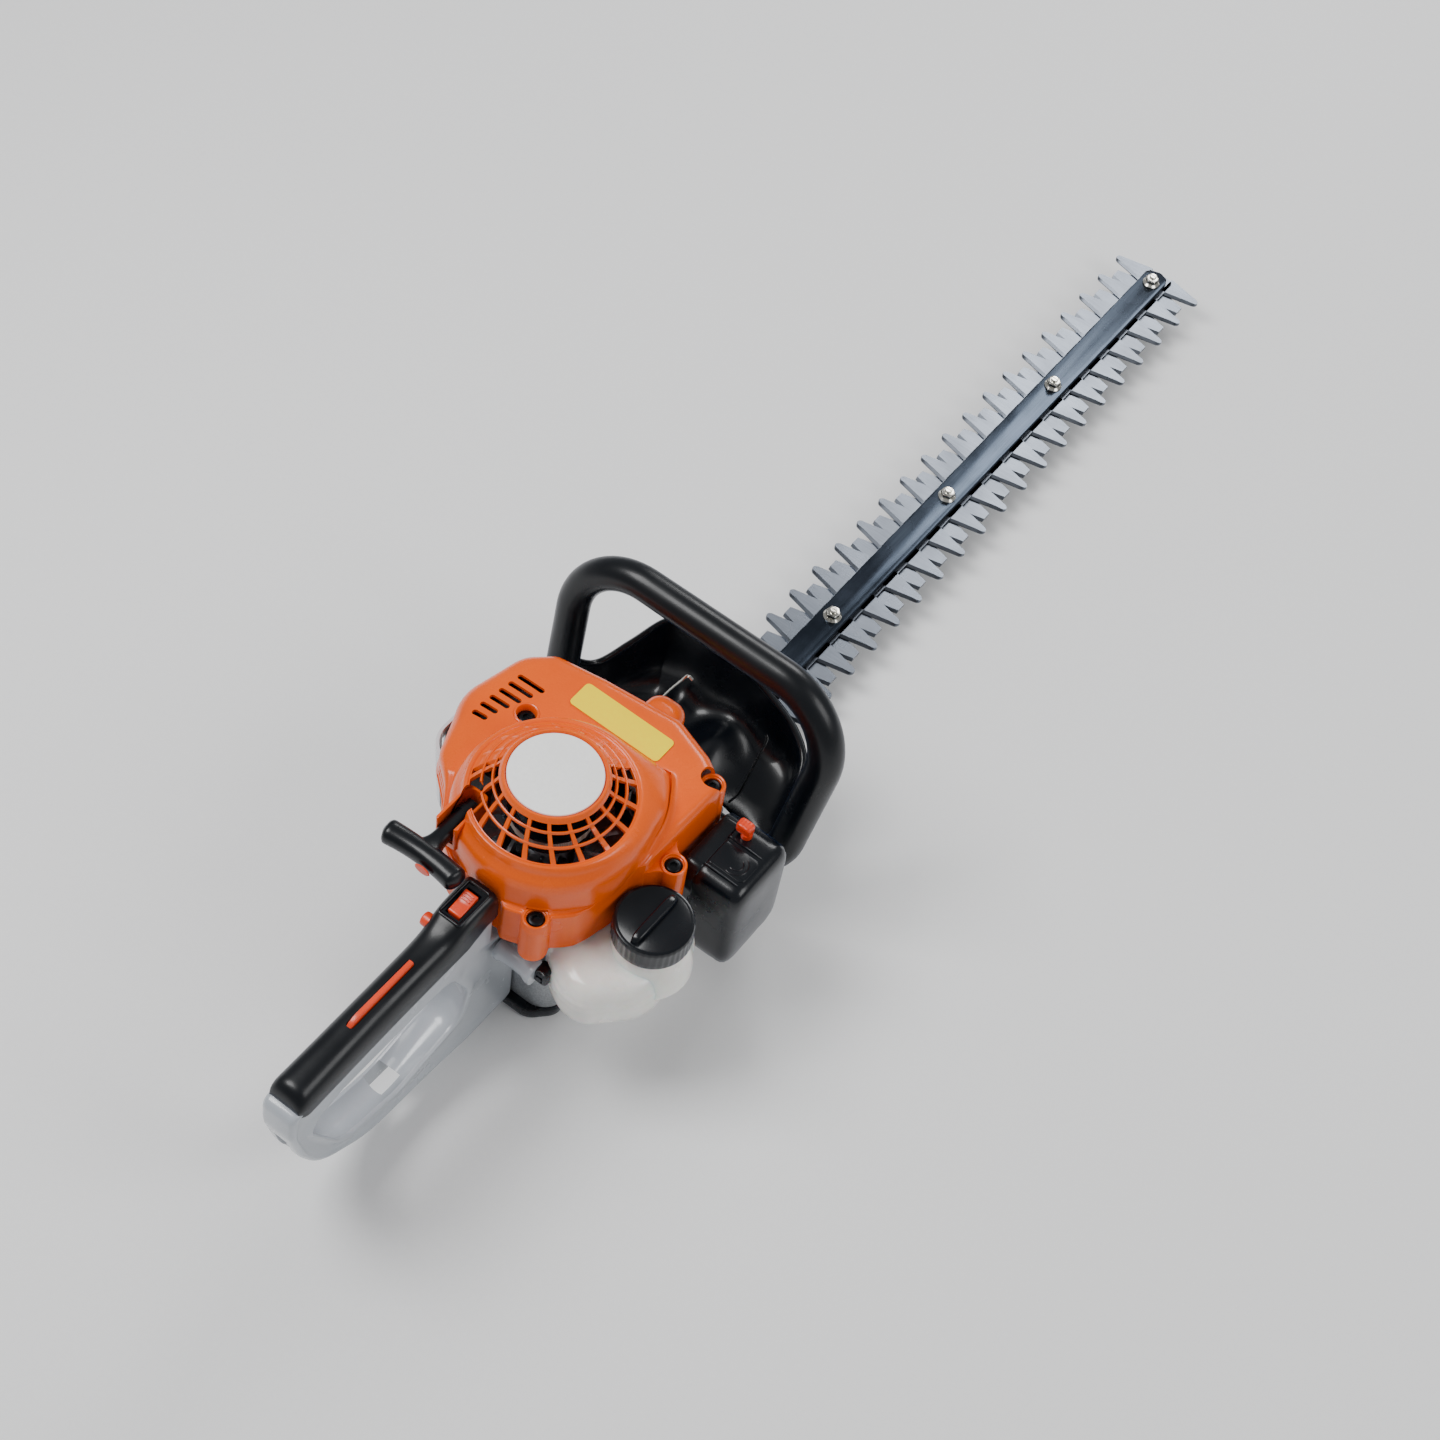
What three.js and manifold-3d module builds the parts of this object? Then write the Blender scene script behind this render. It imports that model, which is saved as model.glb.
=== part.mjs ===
// Petrol hedge trimmer: a two-stroke engine with an upright crankshaft stands on a flat gearbox,
// which drives two opposed toothed cutters under a fixed guide bar.
// Frame: millimetres, +X right, +Y forward along the blade, +Z up. The origin is on the
// crankshaft axis, at the underside of the base tray on which the tool rests.
import * as THREE from "three";
import { mergeVertices } from "three/addons/utils/BufferGeometryUtils.js";
import Module from "manifold-3d";

const wasm = await Module();
wasm.setup();

// ---------------------------------------------------------------- driving dimensions (mm)
const GAP = 0.3; // between pieces that touch
const BORE_CLEARANCE = 0.3; // radial, between a shaft and its hole
const WALL = 2.6; // moulded and cast shells

const BLADE = {
  pitch: 30, // tooth spacing
  teeth: 20, // long teeth on each side
  firstTooth: 263, // y of the rearmost long teeth
  rootY: 106, // where the cutters leave their driving eyes
  thickness: 2.5, // of each cutter
  bottom: 21.4, // underside of the lower cutter
  stroke: 15, // full travel of each cutter
  spine: 12.5, // half width of the cutter body
  longTip: 37.5, // x of the round tip's centre
  longTipRadius: 3,
  longBase: 9.5, // half width of a long tooth at the spine
  shortTip: 32,
  shortTipHalf: 5,
  shortBase: 10,
};
const BAR = { half: 10.5, height: 6, start: 112, end: 836 };
const BOLT = { radius: 3, head: 5.5, first: 350, last: 820, count: 4, nut: 5.2, nutHeight: 5.7, flange: 7 };

const TRAY = { height: 9.7, front: 124, rear: -48, half: 38 };
const GEARBOX = { rear: -42, front: 146, halfRear: 44, halfFront: 30, top: 50, wall: 4 };
const BEARING = { radius: 11, seatDepth: 6 };
const GEAR = { module: 1.25, pinionTeeth: 11, wheelTeeth: 51, bottom: 29.6, width: 8 };
const ECCENTRIC = { radius: 13, offset: 7.5 };
const EYE_RING = 4.5; // width of the ring round each eccentric

const CRANK = { z: 106, throw: 13, pin: 5, journal: 6, web: 22, webWidth: 7, pinLength: 14 };
const CASE = { radius: 34, bottom: 78, top: 134, wall: 9, plateHeight: 3 };
const DRUM = { radius: 31, wall: 2, bottom: 52, height: 20, shaft: 5 };
const CYLINDER = { bore: 17, wall: 4, foot: 35, head: 92, headWall: 7, fin: 31, fins: 5, finWidth: 1.6 };
const PORT = { y: CYLINDER.foot + 17, radius: 7, face: 36 }; // both gas ports end in a flat face
const PISTON = { crown: 62, skirt: 40, pinRadius: 4, pinY: 50 };
const FLYWHEEL = { radius: 48, bottom: 140, disc: 4, blade: 16, blades: 14, hub: 14 };
const ROTOR = { radius: 29, groove: 20, bottom: 170, height: 14, spindle: 4.6 };

const COVER = {
  bottom: 125, // lower edge of the skirt
  deck: 172, // flat top round the dome
  drum: 64, // radius of the round housing
  shoulder: 194, // top of the ring round the grille
  grilleFoot: 54, // outer radius of the grille
  grilleTop: 33,
  crown: 220,
  ring: 46, // radius and height of the bend in the grille
  ringTop: 208,
  grilleBase: 199, // height of the grille's outer rim
};
const NOSE = { left: -15, right: 20, rear: 96, front: 130, taper: 4 }; // the hood over the plug
const BADGE = { radius: 31, thickness: 1.5 };
const GRILLE_WINDOWS = 11;
const GRILLE_RIB = 5; // half angle of a rib, in degrees
const GRILLE_START = -165; // direction of the first window's rib
const GRILLE_STEP = 20;

// Where the housing's screws go in: `top` is the boss's rim, `post` the top of its inner column.
const COVER_SCREWS = [
  { x: -61, y: 50, top: 167, post: COVER.deck - 1 },
  { x: 79, y: 28, top: 158, post: 157 },
  { x: 37, y: -60, top: 158, post: 157 },
  { x: 62, y: 92, top: 160, post: 159 },
];
const SCREW = { head: 5.5, shank: 2.5, boss: 9, seat: 3, length: 26 };
const VENTS = { count: 6, firstY: 30, step: 8.2, left: -90, half: 1.8 };

const CAP = { x: 92, y: -8, radius: 27, bottom: 134, top: 156 };
const TANK = { left: 45, right: 112, rear: -72, front: 30, bottom: 74, top: 121, wall: 3, neck: 22 };
const KNOB = { x: 97, y: 86 };
const FILTER = { left: 84, right: 125, rear: 40, front: 102, bottom: 50, top: 143 };
const MUFFLER = { inner: -PORT.face - GAP, outer: -92, rear: 20, front: 88, bottom: 84, top: 128 };
const GUARD = { outer: -106, inner: -40, open: -60, rear: -14, front: 92, bottom: 76, thickness: 2 };
const CARB = { left: 46, right: 76, half: 15, low: 90, high: 122 };

const LOOP = { half: 110, top: 196, foot: 40, lean: 0.22, baseY: 133, radius: 12, topBend: 50, footBend: 44 };
const SHIELD = { y: 212, left: -56, right: 76, top: 130, bottom: 40, thickness: 3, rear: 152 };

const GRIP = {
  half: 13.5, // half width of the rear handle
  top: 163,
  split: 148, // seam between the black shell and the grey frame
  front: -70,
  rear: -250,
};
const TRIGGER = { y: -132, z: 128, half: 5 };
const LOCKOUT = { front: -134, rear: -198, half: 3, height: 5 };
const SWITCH = { y: -86, half: 6.5, length: 24, panel: 8 };
const BUTTON = { y: -104, z: 158, radius: 5, proud: 4 };
const PULL = { x: -38, y: -82, z: 181, bar: 29, radius: 7.5, stem: 50 };
const MOUNT_TUBE = { y: -64, z: 103, radius: 9 };

// ---------------------------------------------------------------- solids
const FINE = 24; // sides of a large round face
const COARSE = 12; // sides of a small one

/** A closed three.js geometry as a manifold solid. */
function solid(geometry) {
  const bare = geometry.index ? geometry.toNonIndexed() : geometry.clone();
  bare.deleteAttribute("normal");
  bare.deleteAttribute("uv");
  const merged = mergeVertices(bare, 1e-4);
  return new wasm.Manifold(
    new wasm.Mesh({
      numProp: 3,
      vertProperties: new Float32Array(merged.attributes.position.array),
      triVerts: new Uint32Array(merged.index.array),
    }),
  );
}

const join = (first, ...rest) => rest.reduce((sum, piece) => sum.add(piece), first);
const cut = (body, ...tools) => tools.reduce((left, tool) => left.subtract(tool), body);

/** A box between two corners. */
function box(x0, x1, y0, y1, z0, z1) {
  const g = new THREE.BoxGeometry(x1 - x0, y1 - y0, z1 - z0);
  return solid(g.translate((x0 + x1) / 2, (y0 + y1) / 2, (z0 + z1) / 2));
}

/** A cylinder along x, y or z from `from` to `to`; `at` is the centre in the other two axes. */
function rod(axis, radius, from, to, at = [0, 0], sides = COARSE, farRadius = radius) {
  const g = new THREE.CylinderGeometry(farRadius, radius, to - from, sides);
  const mid = (from + to) / 2;
  if (axis === "x") return solid(g.rotateZ(-Math.PI / 2).translate(mid, at[0], at[1]));
  if (axis === "y") return solid(g.translate(at[0], mid, at[1]));
  return solid(g.rotateX(Math.PI / 2).translate(at[0], at[1], mid));
}

/** A body of revolution about z from a closed profile of [radius, z] points. */
function turned(profile, at = [0, 0], sides = FINE) {
  const points = profile.map(([r, z]) => new THREE.Vector2(r, z));
  const g = new THREE.LatheGeometry(points, sides).rotateX(Math.PI / 2);
  return outward(g.translate(at[0], at[1], 0));
}

/** A solid whose faces are turned round if its profile ran the other way. */
function outward(g) {
  const made = solid(g);
  if (made.volume() > 0) return made;
  const index = g.index.array;
  for (let i = 0; i < index.length; i += 3) [index[i], index[i + 1]] = [index[i + 1], index[i]];
  return solid(g);
}

/** A polygon whose corners are rounded by arcs; each point is [x, y] or [x, y, radius]. */
function outline(points, radius = 0, segments = 3) {
  const shape = new THREE.Shape();
  const corners = points.map((p) => new THREE.Vector2(p[0], p[1]));
  const path = corners.flatMap((corner, i) => {
    const back = corners[(i + corners.length - 1) % corners.length].clone().sub(corner);
    const ahead = corners[(i + 1) % corners.length].clone().sub(corner);
    const room = 0.48 * Math.min(back.length(), ahead.length());
    back.normalize();
    ahead.normalize();
    const half = Math.acos(THREE.MathUtils.clamp(back.dot(ahead), -1, 1)) / 2;
    const wanted = points[i][2] ?? radius;
    const arcRadius = Math.min(wanted, room * Math.tan(half));
    if (arcRadius < 0.05 || half > 1.55) return [corner];
    const reach = arcRadius / Math.tan(half);
    const start = corner.clone().addScaledVector(back, reach);
    const inward = back.clone().add(ahead).normalize();
    const centre = corner.clone().addScaledVector(inward, arcRadius / Math.sin(half));
    const turn = Math.sign(back.cross(ahead)) * -(Math.PI - 2 * half);
    return Array.from({ length: segments + 1 }, (_, k) =>
      start.clone().rotateAround(centre, (turn * k) / segments));
  });
  shape.setFromPoints(path);
  return shape;
}

/** An outline given a depth along its own z, with rounded rims if `bevel` is set. */
function thick(shape, depth, bevel) {
  return new THREE.ExtrudeGeometry(shape, {
    depth: depth - 2 * bevel,
    bevelEnabled: bevel > 0,
    bevelSize: bevel,
    bevelThickness: bevel,
    bevelOffset: -bevel,
    bevelSegments: 1,
    curveSegments: 4,
  }).translate(0, 0, bevel);
}

/** An outline in the XY plane, raised from z0 to z1. */
function plate(shape, z0, z1, bevel = 0) {
  return solid(thick(shape, z1 - z0, bevel).translate(0, 0, z0));
}

/** An outline drawn as [y, z], given a thickness from x0 to x1. */
function slab(shape, x0, x1, bevel = 0) {
  return solid(thick(shape, x1 - x0, bevel).translate(0, 0, x0).rotateX(Math.PI / 2).rotateZ(Math.PI / 2));
}

/** A round or oval bar along a curve. */
function bar(curve, rx, ry, steps, sides = 12) {
  const section = new THREE.Shape();
  section.absellipse(0, 0, rx, ry, 0, 2 * Math.PI);
  const g = new THREE.ExtrudeGeometry(section, {
    steps,
    curveSegments: Math.max(2, Math.round(sides / 2)),
    bevelEnabled: false,
    extrudePath: curve,
  });
  return outward(mergeVertices(g));
}

const root = new THREE.Group();

/** Adds a manifold solid to the model as one named piece. */
function piece(name, body, finish) {
  const mesh = body.getMesh();
  const stride = mesh.numProp;
  const points = new Float32Array(mesh.numVert * 3);
  for (let i = 0; i < mesh.numVert; i++) {
    points.set(mesh.vertProperties.subarray(i * stride, i * stride + 3), i * 3);
  }
  const g = new THREE.BufferGeometry();
  g.setAttribute("position", new THREE.BufferAttribute(points, 3));
  g.setIndex(new THREE.BufferAttribute(new Uint32Array(mesh.triVerts), 1));
  g.computeVertexNormals();
  const material = new THREE.MeshStandardMaterial({
    color: finish[0],
    roughness: finish[1],
    metalness: finish[2],
  });
  const made = new THREE.Mesh(g, material);
  made.name = name;
  root.add(made);
}

const FINISH = {
  orange: [0xe8702c, 0.35, 0],
  black: [0x15191e, 0.4, 0],
  grey: [0x9aa0a8, 0.45, 0],
  white: [0xe9e7e2, 0.35, 0],
  yellow: [0xf6d616, 0.4, 0],
  redOrange: [0xf06a45, 0.4, 0],
  steel: [0xb9bcc2, 0.3, 1],
  darkSteel: [0x39434e, 0.25, 1],
  bright: [0xd8dadd, 0.18, 1],
  cast: [0xa9adb1, 0.5, 1],
  rubber: [0x1b1b1c, 0.8, 0],
  foam: [0x3c3c3a, 0.95, 0],
};

// ---------------------------------------------------------------- blade
const CUTTER = {
  lowerBottom: BLADE.bottom,
  upperBottom: BLADE.bottom + BLADE.thickness + GAP,
};
const BAR_BOTTOM = CUTTER.upperBottom + BLADE.thickness + GAP;
const BAR_TOP = BAR_BOTTOM + BAR.height;
const GEAR_RADIUS = (GEAR.module * GEAR.wheelTeeth) / 2;
const PINION_RADIUS = (GEAR.module * GEAR.pinionTeeth) / 2;
const WHEEL_Y = GEAR_RADIUS + PINION_RADIUS;
const boltY = (i) => BOLT.first + ((BOLT.last - BOLT.first) * i) / (BOLT.count - 1);
const HALF_STROKE = BLADE.stroke / 2;
const EYE_INNER = ECCENTRIC.radius + ECCENTRIC.offset + HALF_STROKE + 2 * GAP;
const EYE_OUTER = EYE_INNER + EYE_RING;

/** One side's toothed edge from rear to front, as [x, y] points for x > 0. */
function toothEdge(count, firstY, long) {
  const points = [];
  for (let i = 0; i < count; i++) {
    const y = firstY + i * BLADE.pitch;
    const base = long ? BLADE.longBase : BLADE.shortBase;
    points.push([BLADE.spine, y - base]);
    if (long) {
      for (let a = -60; a <= 60; a += 60) {
        const angle = THREE.MathUtils.degToRad(a);
        const r = BLADE.longTipRadius;
        points.push([BLADE.longTip + r * Math.cos(angle), y + r * Math.sin(angle)]);
      }
    } else {
      points.push([BLADE.shortTip, y - BLADE.shortTipHalf]);
      points.push([BLADE.shortTip, y + BLADE.shortTipHalf]);
    }
    points.push([BLADE.spine, y + base]);
  }
  return points;
}

/** A cutter: a spine with teeth on both sides, slots for the bolts and a driving eye. */
function cutter(bottom, long) {
  const count = long ? BLADE.teeth : BLADE.teeth - 1;
  const firstY = long ? BLADE.firstTooth : BLADE.firstTooth + BLADE.pitch / 2;
  const right = toothEdge(count, firstY, long);
  const left = right.map(([x, y]) => [-x, y]).reverse();
  const top = bottom + BLADE.thickness;
  const toothed = plate(
    outline([[-BLADE.spine, BLADE.rootY], [BLADE.spine, BLADE.rootY], ...right, ...left]),
    bottom,
    top,
  );
  const neck = box(-BLADE.spine, BLADE.spine, WHEEL_Y + EYE_INNER + 1, BLADE.rootY + 1, bottom, top);
  const ring = rod("z", EYE_OUTER, bottom, top, [0, WHEEL_Y], FINE);
  const hole = rod("z", EYE_INNER, bottom - 1, top + 1, [0, WHEEL_Y], FINE);
  const half = BOLT.radius + GAP;
  const reach = HALF_STROKE + half + GAP;
  const slots = [];
  for (let i = 0; i < BOLT.count; i++) {
    const slot = outline([
      [-half, boltY(i) - reach],
      [half, boltY(i) - reach],
      [half, boltY(i) + reach],
      [-half, boltY(i) + reach],
    ], half);
    slots.push(plate(slot, bottom - 1, top + 1));
  }
  return cut(join(toothed, neck, ring), hole, ...slots);
}

function bladeSet() {
  piece("upper_cutter", cutter(CUTTER.upperBottom, true), FINISH.steel);
  piece("lower_cutter", cutter(CUTTER.lowerBottom, false), FINISH.steel);
  const barHoles = [];
  for (let i = 0; i < BOLT.count; i++) {
    barHoles.push(rod("z", BOLT.radius + GAP, BAR_BOTTOM - 1, BAR_TOP + 1, [0, boltY(i)], 12));
  }
  const guideBar = box(-BAR.half, BAR.half, BAR.start, BAR.end, BAR_BOTTOM, BAR_TOP);
  piece("guide_bar", cut(guideBar, ...barHoles), FINISH.darkSteel);
  for (let i = 0; i < BOLT.count; i++) {
    const at = [0, boltY(i)];
    const headTop = BLADE.bottom - GAP;
    const nutBottom = BAR_TOP + GAP;
    piece(
      `blade_bolt_${i + 1}`,
      join(
        rod("z", BOLT.head, headTop - 3, headTop, at, 6),
        rod("z", BOLT.radius, headTop - 1, nutBottom + BOLT.nutHeight + 2.5, at, 12),
        rod("z", BOLT.flange, nutBottom, nutBottom + 1.4, at, 12),
        rod("z", BOLT.nut, nutBottom + 1, nutBottom + BOLT.nutHeight, at, 6),
      ),
      FINISH.bright,
    );
  }
}

// ---------------------------------------------------------------- gearbox
/** A toothed disc; teeth are straight-sided with backlash, the first one at `turn` radians. */
function gear(teeth, z0, z1, at, turn) {
  const pitchRadius = (GEAR.module * teeth) / 2;
  const tip = pitchRadius + 0.75 * GEAR.module;
  const foot = pitchRadius - 1.1 * GEAR.module;
  const step = (2 * Math.PI) / teeth;
  const shape = new THREE.Shape();
  for (let i = 0; i < teeth; i++) {
    const middle = turn + i * step;
    const flank = [[foot, -0.3], [tip, -0.13], [tip, 0.13], [foot, 0.3]];
    flank.forEach(([r, share], k) => {
      const a = middle + share * step;
      const x = at[0] + r * Math.cos(a);
      const y = at[1] + r * Math.sin(a);
      if (i + k === 0) shape.moveTo(x, y);
      else shape.lineTo(x, y);
    });
  }
  return plate(shape, z0, z1);
}

const housingOutline = (inset) => outline([
  [-GEARBOX.halfRear + inset, GEARBOX.rear + inset, 16],
  [GEARBOX.halfRear - inset, GEARBOX.rear + inset, 16],
  [GEARBOX.halfRear - inset, 84, 14],
  [GEARBOX.halfFront - inset, 110, 14],
  [GEARBOX.halfFront - inset, GEARBOX.front - inset, 6],
  [-GEARBOX.halfFront + inset, GEARBOX.front - inset, 6],
  [-GEARBOX.halfFront + inset, 110, 14],
  [-GEARBOX.halfRear + inset, 84, 14],
]);

function gearbox() {
  const roof = GEARBOX.top - BEARING.seatDepth;
  const bottom = TRAY.height + GAP;
  const slotTop = BAR_TOP + GAP;
  piece(
    "gearbox_housing",
    cut(
      plate(housingOutline(0), bottom, GEARBOX.top, 1.5),
      plate(housingOutline(GEARBOX.wall), bottom - 1, roof),
      box(-BLADE.spine - 1, BLADE.spine + 1, GEARBOX.front - 12, GEARBOX.front + 2, bottom - 1, slotTop),
      rod("z", BEARING.radius + GAP, roof - 1, GEARBOX.top + 1, [0, 0], FINE),
      rod("z", 5 + BORE_CLEARANCE, roof - 1, roof + 4, [0, WHEEL_Y]),
    ),
    FINISH.cast,
  );
  const tray = outline([
    [-TRAY.half + 8, TRAY.rear, 12],
    [TRAY.half - 8, TRAY.rear, 12],
    [GEARBOX.halfRear, GEARBOX.rear + 8, 10],
    [GEARBOX.halfRear, 86, 14],
    [GEARBOX.halfFront, TRAY.front - 10, 8],
    [GEARBOX.halfFront - 6, TRAY.front, 6],
    [-GEARBOX.halfFront + 6, TRAY.front, 6],
    [-GEARBOX.halfFront, TRAY.front - 10, 8],
    [-GEARBOX.halfRear, 86, 14],
    [-GEARBOX.halfRear, GEARBOX.rear + 8, 10],
  ]);
  const axleSeat = rod("z", 4 + BORE_CLEARANCE, 5, TRAY.height + 1, [0, WHEEL_Y]);
  piece("base_tray", cut(plate(tray, 0, TRAY.height), axleSeat), FINISH.black);
  piece(
    "drum_bearing",
    cut(
      rod("z", BEARING.radius, roof + 0.3, GEARBOX.top, [0, 0], FINE),
      rod("z", DRUM.shaft + BORE_CLEARANCE, roof - 1, GEARBOX.top + 1),
    ),
    FINISH.bright,
  );
  const wheelTop = GEAR.bottom + GEAR.width;
  const wheelAt = [0, WHEEL_Y];
  const disc = (top, bottomZ, sign) =>
    rod("z", ECCENTRIC.radius, bottomZ, top, [0, WHEEL_Y + sign * ECCENTRIC.offset], 20);
  piece(
    "eccentric_wheel",
    join(
      gear(GEAR.wheelTeeth, GEAR.bottom, wheelTop, wheelAt, -Math.PI / 2),
      disc(GEAR.bottom + 0.5, CUTTER.upperBottom, 1),
      disc(CUTTER.upperBottom + 0.2, CUTTER.lowerBottom, -1),
      rod("z", 5, wheelTop - 1, roof + 3, wheelAt),
      rod("z", 4, 5 + GAP, CUTTER.lowerBottom + 1, wheelAt),
    ),
    FINISH.steel,
  );
  const drumTop = DRUM.bottom + DRUM.height;
  piece(
    "clutch_drum",
    join(
      cut(
        rod("z", DRUM.radius, DRUM.bottom, drumTop, [0, 0], FINE),
        rod("z", DRUM.radius - DRUM.wall, DRUM.bottom + 2.5, drumTop + 1, [0, 0], FINE),
      ),
      rod("z", DRUM.shaft, GEAR.bottom + 1, DRUM.bottom + 1),
      gear(GEAR.pinionTeeth, GEAR.bottom, wheelTop, [0, 0], Math.PI / 2 + Math.PI / GEAR.pinionTeeth),
    ),
    FINISH.steel,
  );
}

// ---------------------------------------------------------------- engine
const DRUM_TOP = DRUM.bottom + DRUM.height;
const SHOE = { bottom: DRUM.bottom + 4, top: DRUM_TOP - 1, radius: DRUM.radius - DRUM.wall - 2 };
const SHAFT_BOTTOM = SHOE.bottom;
const FAN_TOP = FLYWHEEL.bottom + FLYWHEEL.disc + FLYWHEEL.blade;
const CYL_Z = CRANK.z;

function crankAssembly() {
  const pinHalf = CRANK.pinLength / 2;
  const webs = [-1, 1].map((side) => {
    const inner = CRANK.z + side * pinHalf;
    const outer = inner + side * CRANK.webWidth;
    return rod("z", CRANK.web, Math.min(inner, outer), Math.max(inner, outer), [0, 0], FINE);
  });
  const lowWeb = CRANK.z - pinHalf - CRANK.webWidth;
  const highWeb = CRANK.z + pinHalf + CRANK.webWidth;
  const shaftTop = FLYWHEEL.bottom + FLYWHEEL.hub + 6;
  piece(
    "crankshaft",
    join(
      webs[0],
      webs[1],
      rod("z", CRANK.pin, CRANK.z - pinHalf - 1, CRANK.z + pinHalf + 1, [0, -CRANK.throw]),
      rod("z", CRANK.journal, SHAFT_BOTTOM, lowWeb + 1),
      rod("z", CRANK.journal, highWeb - 1, shaftTop),
    ),
    FINISH.steel,
  );
  const shoeSlots = [0, 60, 120].map((deg) => {
    const arm = new THREE.BoxGeometry(2 * SHOE.radius + 4, 4, SHOE.top - SHOE.bottom - 4);
    return solid(arm.rotateZ(THREE.MathUtils.degToRad(deg)).translate(0, 0, SHOE.top + 2));
  });
  piece(
    "clutch_shoes",
    cut(
      rod("z", SHOE.radius, SHOE.bottom, SHOE.top, [0, 0], FINE),
      rod("z", CRANK.journal + BORE_CLEARANCE, SHOE.bottom - 1, SHOE.top + 9),
      ...shoeSlots,
    ),
    FINISH.darkSteel,
  );
  const blades = [];
  for (let i = 0; i < FLYWHEEL.blades; i++) {
    const vane = new THREE.BoxGeometry(22, 2.4, FLYWHEEL.blade + 1);
    vane.rotateZ(THREE.MathUtils.degToRad(28)).translate(FLYWHEEL.radius - 14, 0, 0);
    vane.rotateZ((2 * Math.PI * i) / FLYWHEEL.blades);
    vane.translate(0, 0, FLYWHEEL.bottom + FLYWHEEL.disc + FLYWHEEL.blade / 2 - 0.5);
    blades.push(solid(vane));
  }
  piece(
    "flywheel_fan",
    cut(
      join(
        rod("z", FLYWHEEL.radius, FLYWHEEL.bottom, FLYWHEEL.bottom + FLYWHEEL.disc, [0, 0], FINE),
        rod("z", 15, FLYWHEEL.bottom, FLYWHEEL.bottom + FLYWHEEL.hub),
        ...blades,
      ),
      rod("z", CRANK.journal + BORE_CLEARANCE, FLYWHEEL.bottom - 1, FAN_TOP + 1),
    ),
    FINISH.steel,
  );
  const nutBottom = FLYWHEEL.bottom + FLYWHEEL.hub + GAP;
  piece(
    "flywheel_nut",
    cut(
      rod("z", 9.5, nutBottom, nutBottom + 5.5, [0, 0], 6),
      rod("z", CRANK.journal + BORE_CLEARANCE, nutBottom - 1, nutBottom + 7),
    ),
    FINISH.bright,
  );
}

function crankcase() {
  const split = CRANK.z;
  const seatRadius = 13;
  const mouth = rod("y", CYLINDER.bore + CYLINDER.wall + BORE_CLEARANCE, 20, CASE.radius + 20, [0, CYL_Z], FINE);
  const hollow = rod("z", CASE.radius - CASE.wall, CASE.bottom + 8, CASE.top - 6, [0, 0], FINE);
  const mouthBlock = box(-27, 27, 0, CYLINDER.foot - 1, CASE.bottom + 3, CASE.top - 3);
  const lower = join(
    rod("z", CASE.radius, CASE.bottom, split - GAP / 2, [0, 0], FINE),
    box(-27, 27, 0, CYLINDER.foot - 1, CASE.bottom + 3, split - GAP / 2),
  );
  piece(
    "crankcase_lower",
    cut(
      lower,
      hollow,
      mouth,
      rod("z", seatRadius, CASE.bottom - 1, CASE.bottom + 9, [0, 0]),
    ),
    FINISH.cast,
  );
  const plateBottom = CASE.top - CASE.plateHeight;
  const upper = join(
    cut(
      join(
        rod("z", CASE.radius, split + GAP / 2, CASE.top, [0, 0], FINE),
        mouthBlock.subtract(box(-30, 30, -5, 60, CASE.bottom, split + GAP / 2)),
      ),
      hollow,
      mouth,
    ),
    cut(
      rod("z", COVER.drum - WALL - 2 * GAP, plateBottom, CASE.top, [0, 0], FINE),
      rod("z", CASE.radius - 1, plateBottom - 1, CASE.top + 1, [0, 0], FINE),
      box(-CYLINDER.fin - 2, CYLINDER.fin + 2, CYLINDER.foot, 90, plateBottom - 1, CASE.top + 1),
    ),
  );
  piece(
    "crankcase_upper",
    cut(upper, rod("z", seatRadius, CASE.top - 7, CASE.top + 1, [0, 0])),
    FINISH.cast,
  );
  const race = (name, z0, z1) =>
    piece(
      name,
      cut(
        rod("z", seatRadius - GAP, z0, z1, [0, 0]),
        rod("z", CRANK.journal + BORE_CLEARANCE, z0 - 1, z1 + 1),
      ),
      FINISH.bright,
    );
  race("crank_bearing_lower", CASE.bottom, CASE.bottom + 7.6);
  race("crank_bearing_upper", CASE.top - 5.6, CASE.top);
}

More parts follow.
